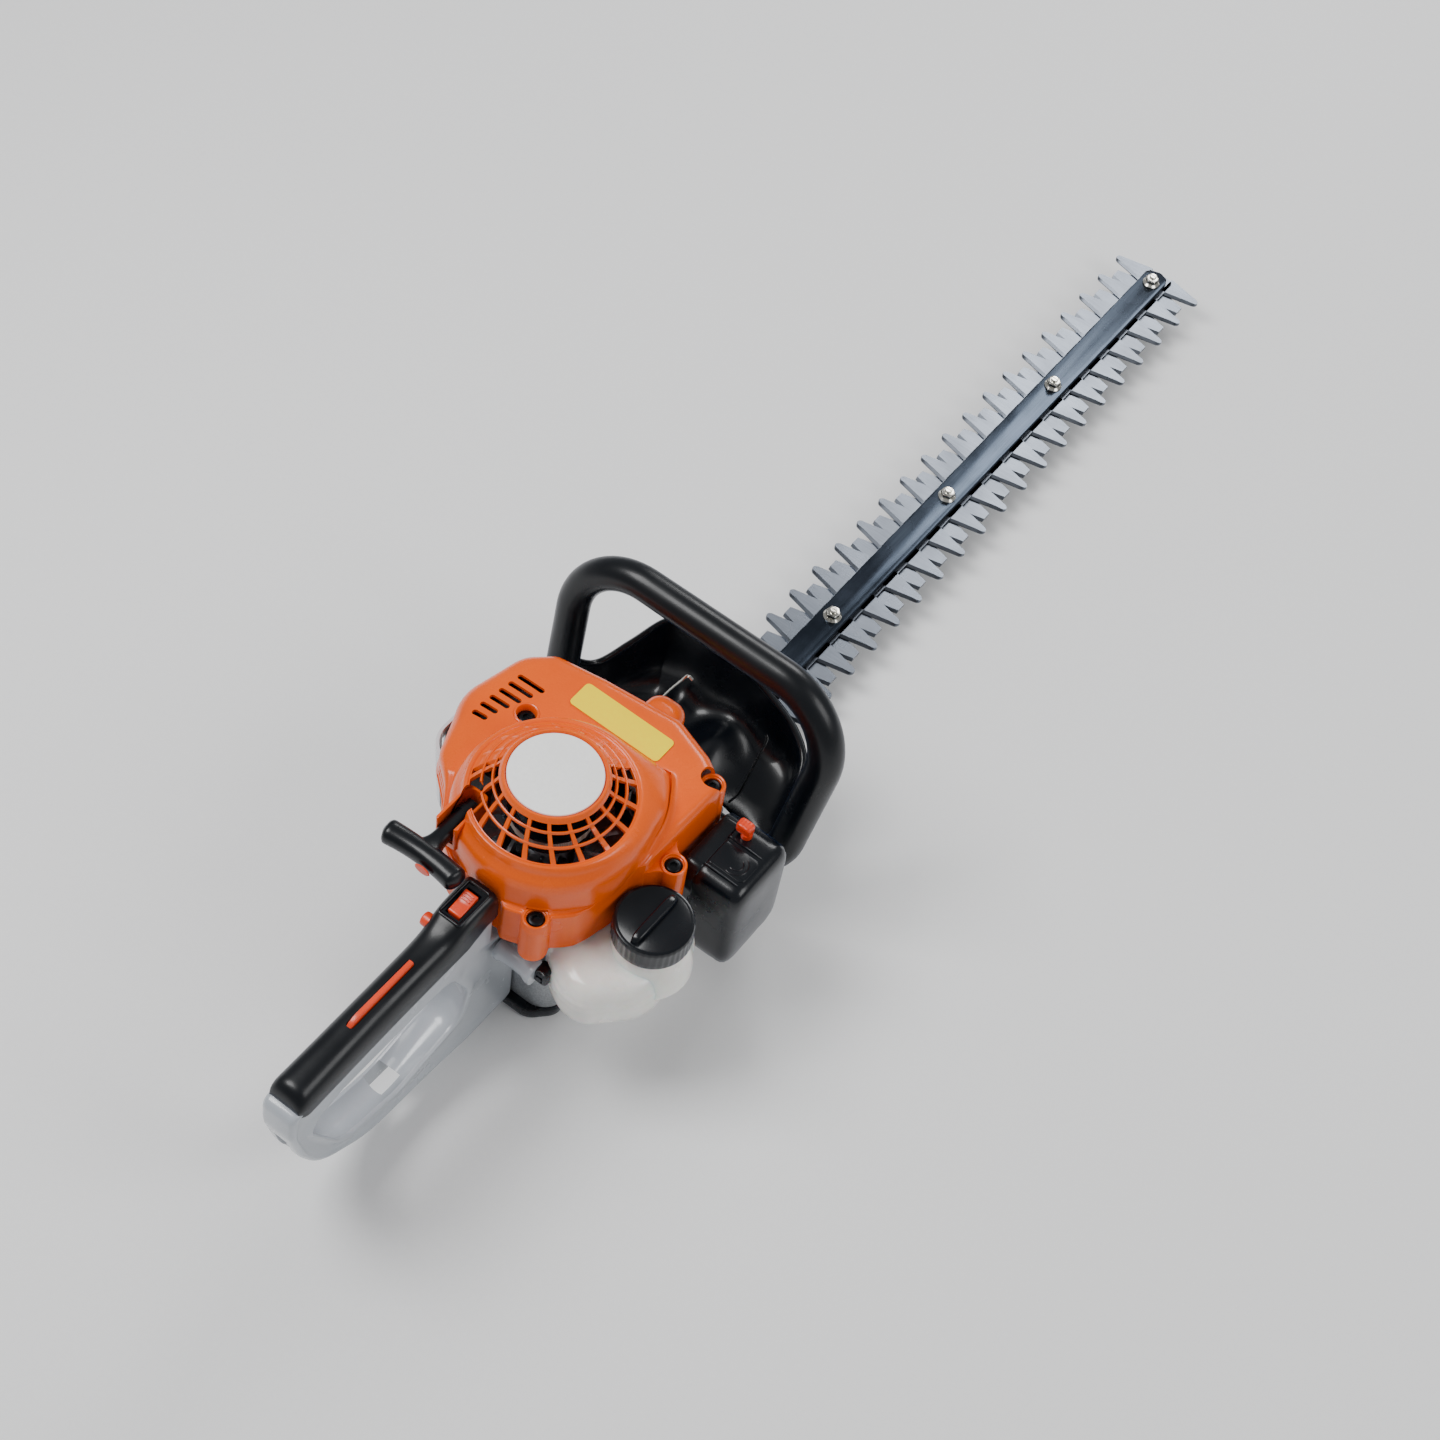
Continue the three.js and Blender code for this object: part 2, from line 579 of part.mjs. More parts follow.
function cylinderAndPiston() {
  const outer = CYLINDER.bore + CYLINDER.wall;
  const top = CYLINDER.head + CYLINDER.headWall;
  const fins = [];
  const finStart = CYLINDER.foot + 9;
  for (let i = 0; i < CYLINDER.fins; i++) {
    const y = finStart + ((top - CYLINDER.finWidth - finStart) * i) / (CYLINDER.fins - 1);
    const shape = outline(
      [
        [-CYLINDER.fin, CYL_Z - 24],
        [CYLINDER.fin, CYL_Z - 24],
        [CYLINDER.fin, CYL_Z + 24],
        [-CYLINDER.fin, CYL_Z + 24],
      ],
      8,
      1,
    );
    fins.push(solid(thick(shape, CYLINDER.finWidth, 0).rotateX(Math.PI / 2).translate(0, y + CYLINDER.finWidth, 0)));
  }
  piece(
    "cylinder",
    cut(
      join(
        rod("y", outer, CYLINDER.foot - 9, top, [0, CYL_Z], FINE),
        box(-27, 27, CYLINDER.foot, CYLINDER.foot + 5, CYL_Z - 24, CYL_Z + 24),
        box(-PORT.face, -outer + 4, PORT.y - 12, PORT.y + 12, CYL_Z - 11, CYL_Z + 11),
        box(outer - 4, PORT.face, PORT.y - 11, PORT.y + 11, CYL_Z - 11, CYL_Z + 11),
        ...fins,
      ),
      rod("y", CYLINDER.bore, 0, CYLINDER.head, [0, CYL_Z], FINE),
      rod("y", 5 + BORE_CLEARANCE, CYLINDER.head - 1, top + 1, [0, CYL_Z], 12),
      rod("x", PORT.radius, -PORT.face - 1, 0, [PORT.y, CYL_Z]),
      rod("x", PORT.radius, 0, PORT.face + 1, [PORT.y, CYL_Z]),
    ),
    FINISH.cast,
  );
  const pistonRadius = CYLINDER.bore - BORE_CLEARANCE;
  piece(
    "piston",
    cut(
      rod("y", pistonRadius, PISTON.skirt, PISTON.crown, [0, CYL_Z], FINE),
      rod("y", pistonRadius - 3.5, PISTON.skirt - 1, PISTON.crown - 4, [0, CYL_Z], FINE),
      rod("x", PISTON.pinRadius + GAP, -20, 20, [PISTON.pinY, CYL_Z], 16),
    ),
    FINISH.steel,
  );
  const pinHalf = pistonRadius - 1.5;
  piece("piston_pin", rod("x", PISTON.pinRadius, -pinHalf, pinHalf, [PISTON.pinY, CYL_Z], 16), FINISH.bright);
  const rodEnd = CRANK.throw + CRANK.pin + 5;
  piece(
    "connecting_rod",
    cut(
      join(
        rod("x", PISTON.pinRadius + 3, -5, 5, [PISTON.pinY, CYL_Z]),
        box(-3.5, 3.5, rodEnd, PISTON.pinY, CYL_Z - 4.5, CYL_Z + 4.5),
      ),
      rod("x", PISTON.pinRadius + GAP, -8, 8, [PISTON.pinY, CYL_Z], 16),
    ),
    FINISH.steel,
  );
  piece(
    "spark_plug",
    join(
      rod("y", 5, CYLINDER.head + 1, top + 1, [0, CYL_Z], 12),
      rod("y", 8.5, top + GAP, top + 7, [0, CYL_Z], 6),
      rod("y", 4.5, top + 6, top + 20, [0, CYL_Z], 12),
    ),
    FINISH.bright,
  );
  piece(
    "plug_boot",
    cut(
      join(
        rod("y", 8, top + 9, top + 26, [0, CYL_Z], 16, 7),
        rod("z", 5, CYL_Z, CYL_Z + 22, [0, top + 21], 12),
      ),
      rod("y", 4.5 + GAP, top + 8, top + 20 + GAP, [0, CYL_Z], 12),
    ),
    FINISH.rubber,
  );
}

// ---------------------------------------------------------------- exhaust, intake and fuel
function exhaust() {
  const box0 = outline([
    [MUFFLER.outer, MUFFLER.rear],
    [MUFFLER.inner, MUFFLER.rear],
    [MUFFLER.inner, MUFFLER.front],
    [MUFFLER.outer, MUFFLER.front],
  ], 12);
  piece(
    "muffler",
    cut(
      plate(box0, MUFFLER.bottom, MUFFLER.top, 2),
      rod("x", PORT.radius, MUFFLER.inner - 12, 0, [PORT.y, CYL_Z]),
      rod("y", 5, 70, 120, [MUFFLER.outer + 18, CYL_Z + 8], 12),
    ),
    FINISH.darkSteel,
  );
  const shell = (inset) => outline([
    [GUARD.outer + inset, GUARD.rear + 22, 20],
    [GUARD.outer + 34, GUARD.rear + inset, 14],
    [GUARD.inner, GUARD.rear + inset + 4, 2],
    [GUARD.inner, GUARD.front - inset, 2],
    [GUARD.outer + 10, GUARD.front - inset, 10],
    [GUARD.outer + inset, GUARD.front - 14, 10],
  ]);
  const louvers = [];
  for (let i = 0; i < 6; i++) {
    const y = 14 + i * 11;
    louvers.push(box(GUARD.outer - 2, GUARD.outer + 6, y, y + 4, GUARD.bottom + 10, GUARD.bottom + 44));
  }
  piece(
    "muffler_guard",
    cut(
      plate(shell(0), GUARD.bottom, COVER.bottom - GAP),
      plate(shell(GUARD.thickness), GUARD.bottom - 1, COVER.bottom + 1),
      box(GUARD.open, 0, GUARD.rear - 1, GUARD.front + 1, GUARD.bottom - 1, COVER.bottom + 1),
      ...louvers,
    ),
    FINISH.grey,
  );
}

function intake() {
  const spacerEnd = CARB.left - GAP;
  piece(
    "intake_spacer",
    cut(
      box(PORT.face + GAP, spacerEnd, PORT.y - 13, PORT.y + 13, CYL_Z - 13, CYL_Z + 13),
      rod("x", PORT.radius, PORT.face - 1, CARB.left + 1, [PORT.y, CYL_Z]),
    ),
    FINISH.black,
  );
  piece(
    "carburettor",
    cut(
      join(
        box(CARB.left, CARB.right, PORT.y - CARB.half, PORT.y + CARB.half, CARB.low, CARB.high - 6),
        box(CARB.left + 5, CARB.right - 5, PORT.y - CARB.half + 3, PORT.y + CARB.half - 3, CARB.low, CARB.high),
        rod("z", 4, CARB.high - 1, CARB.high + 1.8, [CARB.left + 15, PORT.y], 10),
      ),
      rod("x", PORT.radius, CARB.left - 1, CARB.right + 1, [PORT.y, CYL_Z]),
    ),
    FINISH.cast,
  );
  const baseEnd = FILTER.left;
  const face = (inset) => outline([
    [FILTER.rear + inset + 8, FILTER.bottom + inset, 10],
    [FILTER.front - inset - 6, FILTER.bottom + inset + 14, 14],
    [FILTER.front - inset, FILTER.top - inset - 12, 10],
    [FILTER.front - inset - 12, FILTER.top - inset, 8],
    [FILTER.rear + inset + 4, FILTER.top - inset, 8],
    [FILTER.rear + inset, FILTER.top - inset - 20, 10],
  ]);
  piece(
    "filter_base",
    cut(
      join(
        slab(face(0), CARB.right + GAP, baseEnd - GAP),
        box(CARB.right + GAP, baseEnd + 12, 82, 96, FILTER.top - 14, FILTER.top - GAP),
      ),
      rod("x", PORT.radius, CARB.right - 1, baseEnd + 1, [PORT.y, CYL_Z]),
      box(baseEnd - GAP, baseEnd + 20, 70, 100, FILTER.bottom, FILTER.top + 1),
    ),
    FINISH.black,
  );
  piece(
    "filter_cover",
    cut(
      slab(face(0), baseEnd, FILTER.right, 3).subtract(
        box(baseEnd - 1, baseEnd + 4, 0, 130, FILTER.bottom - 5, FILTER.top + 5),
      ),
      slab(face(WALL + 3), baseEnd - 1, FILTER.right - WALL),
    ),
    FINISH.black,
  );
  piece(
    "filter_element",
    slab(face(WALL + 6), baseEnd + 5, FILTER.right - WALL - 6, 2),
    FINISH.foam,
  );
  piece(
    "choke_knob",
    join(
      rod("z", 4, FILTER.top + GAP, FILTER.top + 4, [KNOB.x, KNOB.y], 12),
      plate(outline([
        [KNOB.x - 6, KNOB.y - 5],
        [KNOB.x + 7, KNOB.y - 5],
        [KNOB.x + 7, KNOB.y + 6],
        [KNOB.x - 6, KNOB.y + 6],
      ], 3), FILTER.top + 3, FILTER.top + 12, 1),
    ),
    FINISH.redOrange,
  );
}

function fuel() {
  const body = (inset) => outline([
    [TANK.left + inset, TANK.rear + 22 + inset, 14],
    [TANK.left + 16, TANK.rear + inset, 16],
    [TANK.right - 30, TANK.rear + inset, 24],
    [TANK.right - inset, TANK.rear + 34, 26],
    [TANK.right - inset, TANK.front - 18, 18],
    [TANK.right - 18, TANK.front - inset, 18],
    [TANK.left + inset, TANK.front - inset, 14],
  ]);
  const neckTop = CAP.bottom + 8;
  piece(
    "fuel_tank",
    cut(
      join(
        plate(body(0), TANK.bottom, TANK.top, 10),
        rod("z", TANK.neck, TANK.top - 4, neckTop, [CAP.x, CAP.y], FINE),
      ),
      plate(body(TANK.wall), TANK.bottom + TANK.wall, TANK.top - TANK.wall, 8),
      rod("z", TANK.neck - TANK.wall, TANK.top - 6, neckTop + 1, [CAP.x, CAP.y], FINE),
    ),
    FINISH.white,
  );
  piece(
    "fuel_cap",
    join(
      cut(
        rod("z", CAP.radius, CAP.bottom, CAP.top - 4, [CAP.x, CAP.y], FINE),
        rod("z", TANK.neck + 1, CAP.bottom - 1, neckTop + GAP, [CAP.x, CAP.y], FINE),
      ),
      box(CAP.x - 4, CAP.x + 4, CAP.y - CAP.radius + 4, CAP.y + CAP.radius - 4, CAP.top - 5, CAP.top),
    ),
    FINISH.black,
  );
  piece(
    "tank_clip",
    join(
      box(TANK.left - 8, TANK.left - GAP, -52, -42, 88, 100),
      rod("x", 4, TANK.left - 11, TANK.left - 7, [-47, 94], 12),
    ),
    FINISH.black,
  );
}

// ---------------------------------------------------------------- fan housing and starter
const coverOutline = (inset) => outline([
  [-46 + inset * 0.3, -43 + inset, 10],
  [-87 + inset, -5 + inset, 22],
  [-108 + inset, 41, 28],
  [-96 + inset, 89, 16],
  [-78, 104 - inset, 10],
  [-10, 114 - inset, 6],
  [18, 120 - inset, 6],
  [50 - inset * 0.5, 106 - inset, 10],
  [72 - inset, 92 - inset, 8],
  [70 - inset, 10, 10],
  [30, -30 + inset, 8],
]);

function fanHousing() {
  const inner = WALL;
  const dome = turned([
    [0, COVER.crown - 3],
    [COVER.grilleTop, COVER.crown - 3],
    [COVER.grilleTop + 6, COVER.crown - 6],
    [COVER.ring, COVER.ringTop],
    [COVER.grilleFoot, COVER.grilleBase],
    [COVER.grilleFoot + 3, COVER.shoulder],
    [COVER.drum - 3, COVER.shoulder],
    [COVER.drum, COVER.shoulder - 4],
    [COVER.drum, COVER.bottom],
    [0, COVER.bottom],
  ]);
  const hollow = turned([
    [0, COVER.crown - 3 - inner],
    [COVER.grilleTop - 1, COVER.crown - 3 - inner],
    [COVER.grilleTop + 5, COVER.crown - 6 - inner],
    [COVER.ring - 1, COVER.ringTop - inner],
    [COVER.grilleFoot - 1, COVER.grilleBase - inner],
    [COVER.grilleFoot, COVER.shoulder - inner],
    [COVER.drum - inner, COVER.shoulder - inner - 1],
    [COVER.drum - inner, COVER.bottom - 1],
    [0, COVER.bottom - 1],
  ]);
  const lobe = plate(coverOutline(0), COVER.bottom, COVER.deck, 3).add(
    plate(coverOutline(0), COVER.bottom, COVER.bottom + 10),
  );
  const lobeHollow = plate(coverOutline(inner), COVER.bottom - 1, COVER.deck - inner);
  const noseOutline = (inset, rear, corner) => outline([
    [NOSE.left + inset, rear, 4],
    [NOSE.right - inset, rear, 4],
    [NOSE.right - NOSE.taper - inset, NOSE.front - inset, corner],
    [NOSE.left + NOSE.taper + inset, NOSE.front - inset, corner],
  ]);
  const nose = noseOutline(0, NOSE.rear, 8);
  const noseHollow = noseOutline(WALL, NOSE.rear - 6, 6);
  const boss = (s, r, low, high) => rod("z", r, low, high, [s.x, s.y], 10);
  const windows = [];
  for (let i = 0; i < GRILLE_WINDOWS; i++) {
    const start = GRILLE_START + i * GRILLE_STEP;
    const window = new THREE.Shape();
    const a0 = THREE.MathUtils.degToRad(start + GRILLE_RIB);
    const a1 = THREE.MathUtils.degToRad(start + GRILLE_STEP - GRILLE_RIB + 3);
    const low = COVER.grilleTop + 2;
    const high = COVER.grilleFoot - 2;
    window.moveTo(low * Math.cos(a0), low * Math.sin(a0));
    window.lineTo(high * Math.cos(a0), high * Math.sin(a0));
    window.lineTo(high * Math.cos(a1), high * Math.sin(a1));
    window.lineTo(low * Math.cos(a1), low * Math.sin(a1));
    windows.push(plate(window, COVER.shoulder, COVER.crown + 2));
  }
  const vents = [];
  for (let i = 0; i < VENTS.count; i++) {
    const y = VENTS.firstY + i * VENTS.step;
    const left = VENTS.left + Math.max(0, i - 1) * 1.2;
    const right = left + 12 + i * 2;
    const [low, high] = [y - VENTS.half, y + VENTS.half];
    const slot = outline([[left, low], [right, low], [right, high], [left, high]], 1.7, 2);
    vents.push(plate(slot, COVER.deck - 8, COVER.deck + 2));
  }
  const stemNotch = box(
    PULL.x - PULL.radius - 1.5,
    PULL.x + PULL.radius + 1.5,
    -70,
    PULL.y + PULL.stem + 4,
    PULL.z - PULL.radius - 2,
    COVER.crown,
  );
  const ropeHole = rod("y", 3, -60, -20, [PULL.x, PULL.z], 10);
  piece(
    "fan_housing",
    cut(
      join(
        cut(
          join(dome, lobe, plate(nose, COVER.bottom, COVER.deck - 2, 1.5), ...COVER_SCREWS.map((s) =>
            boss(s, SCREW.boss, COVER.bottom, s.top))),
          hollow,
          lobeHollow,
          plate(noseHollow, COVER.bottom - 1, COVER.deck - 2 - inner),
        ),
        rod("z", ROTOR.spindle, ROTOR.bottom - 2, COVER.crown - 4),
        ...COVER_SCREWS.map((s) => boss(s, SCREW.boss - 1, COVER.bottom + 12, s.post)),
      ),
      ...COVER_SCREWS.flatMap((s) => [
        boss(s, SCREW.shank + GAP, COVER.bottom - 1, s.top + 1),
        boss(s, SCREW.head + GAP, s.top - SCREW.seat, COVER.crown),
      ]),
      stemNotch,
      ropeHole,
      ...windows,
      ...vents,
    ),
    FINISH.orange,
  );
  COVER_SCREWS.forEach((s, i) => {
    piece(
      `cover_screw_${i + 1}`,
      cut(
        join(
          boss(s, SCREW.head, s.top - SCREW.seat + GAP, s.top - 0.2),
          boss(s, SCREW.shank, s.top - SCREW.length, s.top - SCREW.seat + 1),
        ),
        rod("z", 2.2, s.top - 2, s.top + 1, [s.x, s.y], 6),
      ),
      FINISH.black,
    );
  });
  piece(
    "badge_disc",
    rod("z", BADGE.radius, COVER.crown - 3 + GAP, COVER.crown - 3 + GAP + BADGE.thickness, [0, 0], FINE),
    FINISH.white,
  );
  piece(
    "colour_band",
    plate(outline([[-46, 75], [27, 75], [27, 96], [-46, 96]], 3), COVER.deck + GAP, COVER.deck + GAP + 0.6),
    FINISH.yellow,
  );
}

function starter() {
  const top = ROTOR.bottom + ROTOR.height;
  piece(
    "rope_pulley",
    cut(
      turned([
        [0, ROTOR.bottom],
        [ROTOR.radius, ROTOR.bottom],
        [ROTOR.radius, ROTOR.bottom + 2],
        [ROTOR.groove, ROTOR.bottom + 3],
        [ROTOR.groove, top - 3],
        [ROTOR.radius, top - 2],
        [ROTOR.radius, top],
        [0, top],
      ], [0, 0], FINE),
      rod("z", ROTOR.spindle + BORE_CLEARANCE, ROTOR.bottom - 1, top + 1),
    ),
    FINISH.black,
  );
  piece(
    "starter_rope",
    cut(
      rod("z", ROTOR.radius - 1, ROTOR.bottom + 3 + GAP, top - 3 - GAP, [0, 0], FINE),
      rod("z", ROTOR.groove + GAP, ROTOR.bottom, top, [0, 0], FINE),
    ),
    FINISH.white,
  );
  piece(
    "recoil_spring",
    cut(
      rod("z", 24, top + GAP + 0.5, top + 8, [0, 0], FINE),
      rod("z", 6, top, top + 9),
    ),
    FINISH.darkSteel,
  );
  piece(
    "ignition_coil",
    join(
      box(-8, 22, 52, 58.5, CASE.top + GAP, CASE.top + 20),
      box(-4, 18, 50.5, 59.5, CASE.top + 8, CASE.top + 24),
    ),
    FINISH.black,
  );
  const z = PULL.z;
  const barY = PULL.y;
  const stemEnd = barY + PULL.stem;
  const grip = join(
    bar(
      new THREE.CatmullRomCurve3([
        new THREE.Vector3(PULL.x - PULL.bar, barY - 2, z + 1),
        new THREE.Vector3(PULL.x - PULL.bar / 2, barY + 1, z),
        new THREE.Vector3(PULL.x, barY + 2, z),
        new THREE.Vector3(PULL.x + PULL.bar / 2, barY + 1, z),
        new THREE.Vector3(PULL.x + PULL.bar, barY - 2, z + 1),
      ]),
      PULL.radius,
      PULL.radius - 1,
      10,
      12,
    ),
    rod("y", PULL.radius - 1, barY, stemEnd, [PULL.x, z], 14, PULL.radius - 2.5),
  );
  piece("pull_grip", grip, FINISH.black);
}

// ---------------------------------------------------------------- handles and guard
const loopY = (z) => LOOP.baseY + LOOP.lean * (z - 25);

function frontHandle() {
  const p = (x, z) => new THREE.Vector3(x, loopY(z), z);
  const path = new THREE.CurvePath();
  const line = (a, b) => path.add(new THREE.LineCurve3(a, b));
  const bend = (a, b, c) => path.add(new THREE.QuadraticBezierCurve3(a, b, c));
  const side = LOOP.half;
  const foot = LOOP.half - 12;
  const inner = GEARBOX.halfFront + GAP;
  line(p(-inner, LOOP.foot), p(-foot + LOOP.footBend, LOOP.foot));
  bend(p(-foot + LOOP.footBend, LOOP.foot), p(-foot, LOOP.foot), p(-foot - 1, LOOP.foot + LOOP.footBend));
  line(p(-foot - 1, LOOP.foot + LOOP.footBend), p(-side, LOOP.top - LOOP.topBend));
  bend(p(-side, LOOP.top - LOOP.topBend), p(-side, LOOP.top), p(-side + LOOP.topBend, LOOP.top));
  line(p(-side + LOOP.topBend, LOOP.top), p(side - LOOP.topBend, LOOP.top));
  bend(p(side - LOOP.topBend, LOOP.top), p(side, LOOP.top), p(side, LOOP.top - LOOP.topBend));
  line(p(side, LOOP.top - LOOP.topBend), p(foot + 1, LOOP.foot + LOOP.footBend));
  bend(p(foot + 1, LOOP.foot + LOOP.footBend), p(foot, LOOP.foot), p(foot - LOOP.footBend, LOOP.foot));
  line(p(foot - LOOP.footBend, LOOP.foot), p(inner, LOOP.foot));
  piece("front_handle", bar(path, LOOP.radius, LOOP.radius, 36, 8), FINISH.black);
}

function handGuard() {
  const t = SHIELD.thickness;
  const y = SHIELD.y;
  const plan = (inset) => outline([
    [SHIELD.left - 12 + inset, SHIELD.rear, 2],
    [SHIELD.left - 8 + inset, 176, 14],
    [SHIELD.left + inset, 203, 12],
    [SHIELD.left + 16, y - inset, 10],
    [SHIELD.right - 22, y - inset, 12],
    [SHIELD.right - inset, 200, 16],
    [SHIELD.right + 9 - inset, 172, 12],
    [SHIELD.right + 13 - inset, SHIELD.rear, 2],
  ]);
  const wall = cut(
    plate(plan(0), SHIELD.bottom, SHIELD.top),
    plate(plan(t), SHIELD.bottom - 1, SHIELD.top + 1),
    box(-120, 120, SHIELD.rear - 10, SHIELD.rear + 4, SHIELD.bottom - 1, SHIELD.top + 1),
  );
  const rim = outline([
    [SHIELD.rear - 10, 84, 4],
    [176, 80, 16],
    [y - 14, SHIELD.top - 12, 10],
    [y + 10, SHIELD.top, 4],
    [y + 10, SHIELD.top + 20, 2],
    [SHIELD.rear - 10, SHIELD.top + 20, 2],
  ]);
  const floor = plate(outline([
    [SHIELD.left - 10, SHIELD.rear + 2, 4],
    [SHIELD.right + 10, SHIELD.rear + 2, 4],
    [SHIELD.right + 7, 172, 10],
    [SHIELD.right - 2, 199, 16],
    [SHIELD.right - 22, y - 1, 12],
    [SHIELD.left + 16, y - 1, 12],
    [SHIELD.left + 2, 202, 14],
    [SHIELD.left - 6, 176, 10],
  ]), SHIELD.bottom, SHIELD.bottom + t);
  piece("hand_guard", cut(join(wall, floor), slab(rim, -130, 130)), FINISH.black);
}

function rearHandle() {
  const x = GRIP.half;
  const frame = outline([
    [GEARBOX.rear - GAP, TRAY.height + GAP, 4],
    [-86, TRAY.height + GAP, 10],
    [-127, 18, 20],
    [-190, 25, 26],
    [-232, 54, 24],
    [GRIP.rear, 86, 16],
    [GRIP.rear - 9, 124, 14],
    [GRIP.rear - 8, GRIP.split, 6],
    [GRIP.front, GRIP.split, 6],
    [GRIP.front, 120, 6],
    [GEARBOX.rear - GAP - 14, 112, 6],
    [GEARBOX.rear - GAP, 60, 8],
  ]);
  const loopHole = outline([
    [-100, 52, 14],
    [-160, 42, 30],
    [-214, 54, 22],
    [-246, 116, 16],
    [-214, 121, 10],
    [-112, 118, 16],
    [-92, 80, 16],
  ]);
  const triggerSlot = box(
    -TRIGGER.half - 1,
    TRIGGER.half + 1,
    TRIGGER.y - 25,
    TRIGGER.y + 25,
    110,
    TRIGGER.z + 13,
  );
  const lockSlot = box(
    -LOCKOUT.half - 1,
    LOCKOUT.half + 1,
    LOCKOUT.rear - 2,
    LOCKOUT.front + 2,
    GRIP.split - 3,
    GRIP.split + 1,
  );
  piece(
    "handle_frame",
    cut(
      slab(frame, -x, x, 2),
      slab(loopHole, -x - 2, x + 2),
      box(-7, 7, -172, -152, 10, 60),
      triggerSlot,
      lockSlot,
    ),
    FINISH.grey,
  );
  const flatTop = GRIP.top + SWITCH.panel;
  const shell = outline([
    [GRIP.front + 2, GRIP.split + GAP, 6],
    [GRIP.front + 2, flatTop, 6],
    [-96, flatTop, 10],
    [-122, GRIP.top + 2, 20],
    [-200, GRIP.top, 20],
    [GRIP.rear, GRIP.top - 4, 7],
    [GRIP.rear - 1, GRIP.split + GAP, 5],
  ]);
  const rocker = [SWITCH.y - SWITCH.length / 2, SWITCH.y + SWITCH.length / 2];
  piece(
    "handle_shell",
    cut(
      slab(shell, -x, x, 1.5),
      box(-LOCKOUT.half - 1, LOCKOUT.half + 1, LOCKOUT.rear - 2, LOCKOUT.front + 2, GRIP.split - 1, flatTop + 1),
      box(-SWITCH.half - 0.8, SWITCH.half + 0.8, rocker[0] - 1.6, rocker[1] + 1.6, flatTop - 9, flatTop + 2),
      rod("x", BUTTON.radius + GAP, -x - 1, -x + 7, [BUTTON.y, BUTTON.z], 16),
    ),
    FINISH.black,
  );
  const lever = outline([
    [LOCKOUT.front, GRIP.split - 2],
    [LOCKOUT.front, GRIP.top + 3],
    [LOCKOUT.rear + 10, GRIP.top + LOCKOUT.height],
    [LOCKOUT.rear, GRIP.top - 1],
    [LOCKOUT.rear, GRIP.split + 6],
  ], 2, 2);
  piece("lockout_lever", slab(lever, -LOCKOUT.half, LOCKOUT.half), FINISH.redOrange);
  const trigger = outline([
    [TRIGGER.y + 23, TRIGGER.z + 7, 4],
    [TRIGGER.y + 22, TRIGGER.z - 12, 5],
    [TRIGGER.y + 8, TRIGGER.z - 27, 6],
    [TRIGGER.y - 4, TRIGGER.z - 22, 8],
    [TRIGGER.y - 20, TRIGGER.z - 9, 4],
    [TRIGGER.y - 20, TRIGGER.z + 2, 4],
  ]);
  piece("throttle_trigger", slab(trigger, -TRIGGER.half, TRIGGER.half, 1), FINISH.redOrange);
  const key = outline([
    [rocker[0], flatTop - 7],
    [rocker[1], flatTop - 7],
    [rocker[1], flatTop + 3.5],
    [SWITCH.y, flatTop + 1],
    [rocker[0], flatTop],
  ], 1, 2);
  piece("stop_switch", slab(key, -SWITCH.half, SWITCH.half), FINISH.redOrange);
  piece("half_throttle_button", rod("x", BUTTON.radius, -x - BUTTON.proud, -x + 4, [BUTTON.y, BUTTON.z], 16), FINISH.redOrange);
  piece(
    "mount_bush",
    rod("x", MOUNT_TUBE.radius, x + GAP, TANK.left - GAP, [MOUNT_TUBE.y, MOUNT_TUBE.z]),
    FINISH.grey,
  );
}

bladeSet();
gearbox();
crankAssembly();
crankcase();
cylinderAndPiston();
exhaust();
intake();
fuel();
fanHousing();
starter();
frontHandle();
handGuard();
rearHandle();

export default root;
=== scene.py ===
"""The looks of a petrol hedge trimmer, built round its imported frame.

Lengths are millimetres until a mesh is written. +X is right, +Y forwards along the blade, +Z up.
"""
import logging
import math
from dataclasses import dataclass
from enum import Enum

import bmesh
import bpy
import numpy as np
from mathutils import Matrix, Vector


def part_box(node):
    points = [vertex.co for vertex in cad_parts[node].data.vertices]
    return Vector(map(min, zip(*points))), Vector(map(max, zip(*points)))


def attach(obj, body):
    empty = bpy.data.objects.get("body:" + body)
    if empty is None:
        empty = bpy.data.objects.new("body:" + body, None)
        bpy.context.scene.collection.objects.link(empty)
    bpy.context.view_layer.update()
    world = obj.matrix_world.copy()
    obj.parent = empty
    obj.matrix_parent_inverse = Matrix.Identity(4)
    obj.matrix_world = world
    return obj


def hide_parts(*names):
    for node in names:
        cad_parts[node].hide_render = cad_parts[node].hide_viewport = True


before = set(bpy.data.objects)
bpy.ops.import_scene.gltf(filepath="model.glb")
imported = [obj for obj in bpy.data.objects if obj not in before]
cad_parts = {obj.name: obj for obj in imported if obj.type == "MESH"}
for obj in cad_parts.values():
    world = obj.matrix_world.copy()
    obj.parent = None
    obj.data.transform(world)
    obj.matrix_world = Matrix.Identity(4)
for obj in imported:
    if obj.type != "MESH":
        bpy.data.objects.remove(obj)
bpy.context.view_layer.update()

LOG = logging.getLogger("hedge_trimmer")
MM = 0.001
TURN = 2 * math.pi
Points = np.ndarray
# Corners or stations of a line, each [across, along] or [across, along, corner radius].
Line = tuple[tuple[float, ...], ...]


# ------------------------------------------------------------------ mesh tools
def corners(node: str) -> tuple[Points, Points]:
    """Lowest and highest corner of a CAD node, in millimetres."""
    low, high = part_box(node)
    return np.array(low) / MM, np.array(high) / MM


